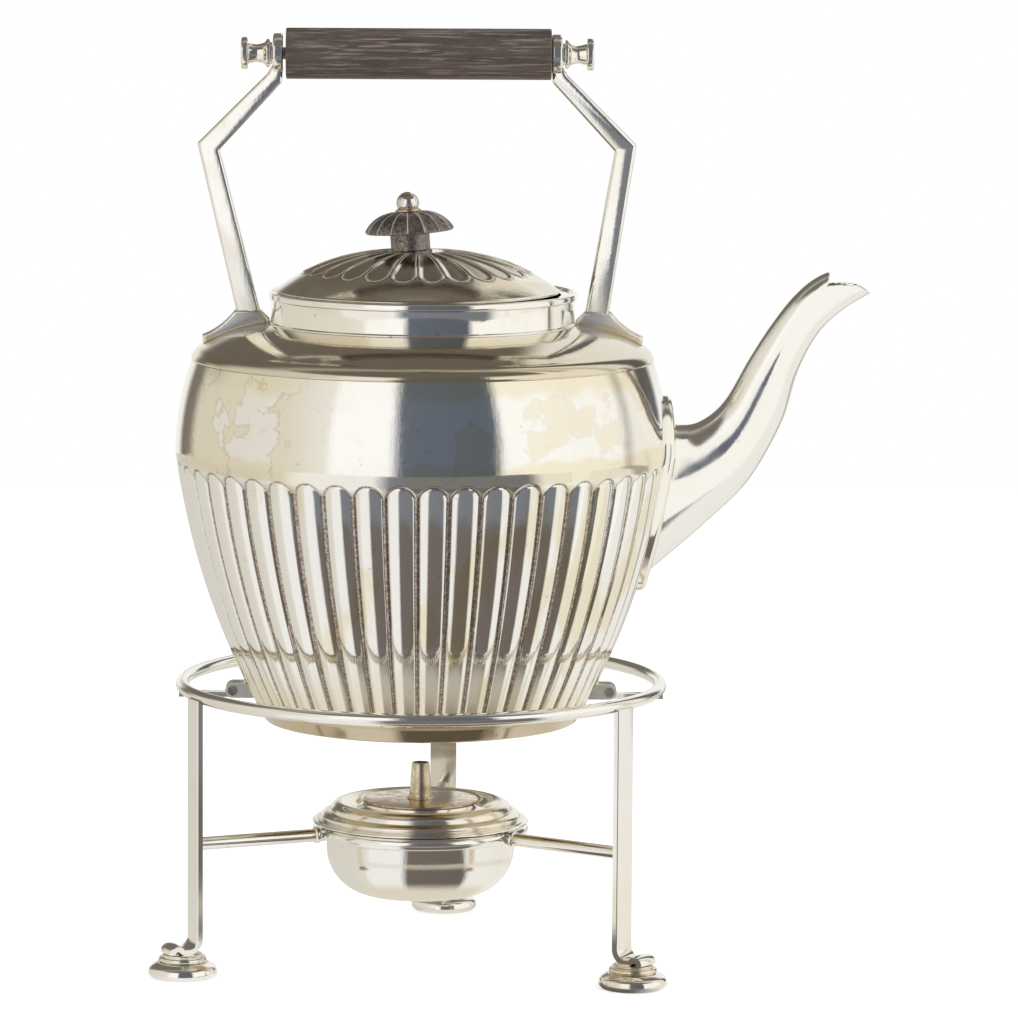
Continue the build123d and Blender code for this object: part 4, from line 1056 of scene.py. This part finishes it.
def make_world():
    """Studio's walls and ceiling for reflections, plain light on the object, and white for the camera."""
    world = bpy.data.worlds.new("studio")
    bpy.context.scene.world = world
    world.use_nodes = True
    tree = world.node_tree
    tree.nodes.clear()
    n = Nodes(tree)
    direction = n.add("ShaderNodeTexCoord").outputs["Generated"]
    x, y, z = n.add("ShaderNodeSeparateXYZ", {0: direction}).outputs
    walls = around_colour(n, x, y)
    # The ceiling is dull. It comes lowest behind the object, stays high in front and leaves the sides out
    back = n.smooth(y, -0.25, 0.35)
    lean = n.times(n.most(x, 0.0), -2.4)
    high = n.smooth(n.plus(z, lean), 0.12, 0.30)
    front_high = n.smooth(z, 0.60, 0.72)
    sideways = n.smooth(n.math("ABSOLUTE", x), 0.70, 0.92)
    roof = n.most(n.times(back, high), n.times(n.rest(back), front_high))
    roof = n.times(roof, n.rest(sideways))
    colour = n.mix(roof, walls, CEILING)
    path = n.add("ShaderNodeLightPath")
    seen = n.mix(path.outputs["Is Camera Ray"], colour, (1.0, 1.0, 1.0))
    plain_light = n.add("ShaderNodeBackground", {"Color": (1.0, 1.0, 1.0, 1.0), "Strength": 0.95})
    seen_light = n.add("ShaderNodeBackground", {"Color": seen, "Strength": 1.0})
    lights = {0: path.outputs["Is Diffuse Ray"], 1: seen_light.outputs[0], 2: plain_light.outputs[0]}
    n.finish("ShaderNodeOutputWorld", n.add("ShaderNodeMixShader", lights))


def stage_sheet(name, panels, material_name):
    """Flat sheet of the studio, made of four-cornered panels. Returns it with its empty material's nodes."""
    mesh = bpy.data.meshes.new(name)
    faces = [tuple(range(4 * i, 4 * i + 4)) for i in range(len(panels))]
    mesh.from_pydata(sum(panels, []), [], faces)
    sheet = bpy.data.objects.new(name, mesh)
    sheet.location = AXIS
    bpy.context.scene.collection.objects.link(sheet)
    material = bpy.data.materials.new(material_name)
    material.use_nodes = True
    material.node_tree.nodes.clear()
    mesh.materials.append(material)
    return sheet, Nodes(material.node_tree)


def make_floor():
    """Pale floor. In reflections it carries the studio's colours, as a glossy white table does."""
    half = 1.6
    corners = [(-half, -half, 0), (half, -half, 0), (half, half, 0), (-half, half, 0)]
    floor, n = stage_sheet("floor", [corners], "pale_floor")
    place = n.add("ShaderNodeTexCoord").outputs["Object"]
    x, y = n.add("ShaderNodeSeparateXYZ", {0: place}).outputs[:2]
    walls = n.mix(0.10, around_colour(n, x, y, 0.70), (0.92, 0.91, 0.88))
    distance = n.math("SQRT", n.plus(n.times(x, x), n.times(y, y)))
    # Browner near the object where it is dark
    near = n.mix(1.0, walls, (0.80, 0.62, 0.48), "MULTIPLY")
    red = n.add("ShaderNodeSeparateColor", {0: walls}).outputs[0]
    dark = n.rest(n.smooth(red, 0.22, 0.40))
    close = n.times(dark, n.rest(n.smooth(distance, 0.44, 0.47)))
    walls = n.mix(close, walls, near)
    # Dull in a strip behind the object
    strip = n.times(n.smooth(y, 0.30, 0.38), n.smooth(y, 0.70, 0.60))
    strip = n.times(strip, n.smooth(x, 0.05, 0.10))
    walls = n.mix(n.times(strip, 0.7), walls, (0.30, 0.27, 0.24))
    # Golden in a ring and in the middle
    rim = n.times(n.smooth(distance, 0.200, 0.160, 0.0, 0.55), n.smooth(distance, 0.110, 0.150))
    walls = n.mix(n.most(rim, n.smooth(distance, 0.055, 0.030)), walls, (0.86, 0.80, 0.67))
    diffuse = n.add("ShaderNodeBsdfDiffuse", {"Color": (0.62, 0.62, 0.62, 1)})
    glow = n.add("ShaderNodeEmission", {"Color": walls, "Strength": 0.9})
    path = n.add("ShaderNodeLightPath")
    lifted_by = n.times(path.outputs["Is Camera Ray"], 0.62)
    lift = n.add("ShaderNodeEmission", {"Color": (1, 1, 1, 1), "Strength": lifted_by})
    pale = n.add("ShaderNodeAddShader", {0: diffuse.outputs[0], 1: lift.outputs[0]})
    share = n.times(path.outputs["Is Glossy Ray"], 0.95)
    shaders = {0: share, 1: pale.outputs[0], 2: glow.outputs[0]}
    n.finish("ShaderNodeOutputMaterial", n.add("ShaderNodeMixShader", shaders))


def make_card():
    """White board with a gap in front of the spout, which shows only in reflections."""
    y, left, right, low, high = -0.090, 0.094, 0.290, 0.130, 0.420
    gap_left, gap_right, gap_low, gap_high = 0.117, 0.139, 0.208, 0.256
    panels = [(left, gap_left, low, high), (gap_left, gap_right, low, gap_low),
              (gap_left, gap_right, gap_high, high), (gap_right, right, low, high)]
    corners = [[(x1, y, z1), (x2, y, z1), (x2, y, z2), (x1, y, z2)] for x1, x2, z1, z2 in panels]
    card, n = stage_sheet("card", corners, "white_board")
    glow = n.add("ShaderNodeEmission", {"Color": (1.0, 1.0, 0.98, 1), "Strength": 1.0})
    n.finish("ShaderNodeOutputMaterial", glow)
    card.visible_camera = card.visible_diffuse = card.visible_shadow = False


def make_camera():
    """Camera at the photograph's viewing angle."""
    data = bpy.data.cameras.new("camera")
    data.lens, data.sensor_width = CAMERA_LENS, 36.0
    data.clip_start, data.clip_end = 0.1, 20.0
    roll = math.radians(CAMERA_ROLL)
    data.shift_x, data.shift_y = CAMERA_SHIFT * math.cos(roll), CAMERA_SHIFT * math.sin(roll)
    camera = bpy.data.objects.new("camera", data)
    bpy.context.scene.collection.objects.link(camera)
    turn = Matrix.Rotation(math.radians(90 - CAMERA_PITCH), 4, "X") @ Matrix.Rotation(roll, 4, "Z")
    camera.matrix_world = Matrix.Translation(AXIS + Vector(CAMERA_PLACE)) @ turn
    bpy.context.scene.camera = camera


make_world()
make_floor()
make_card()
make_camera()
bpy.context.scene.view_settings.view_transform = "Standard"
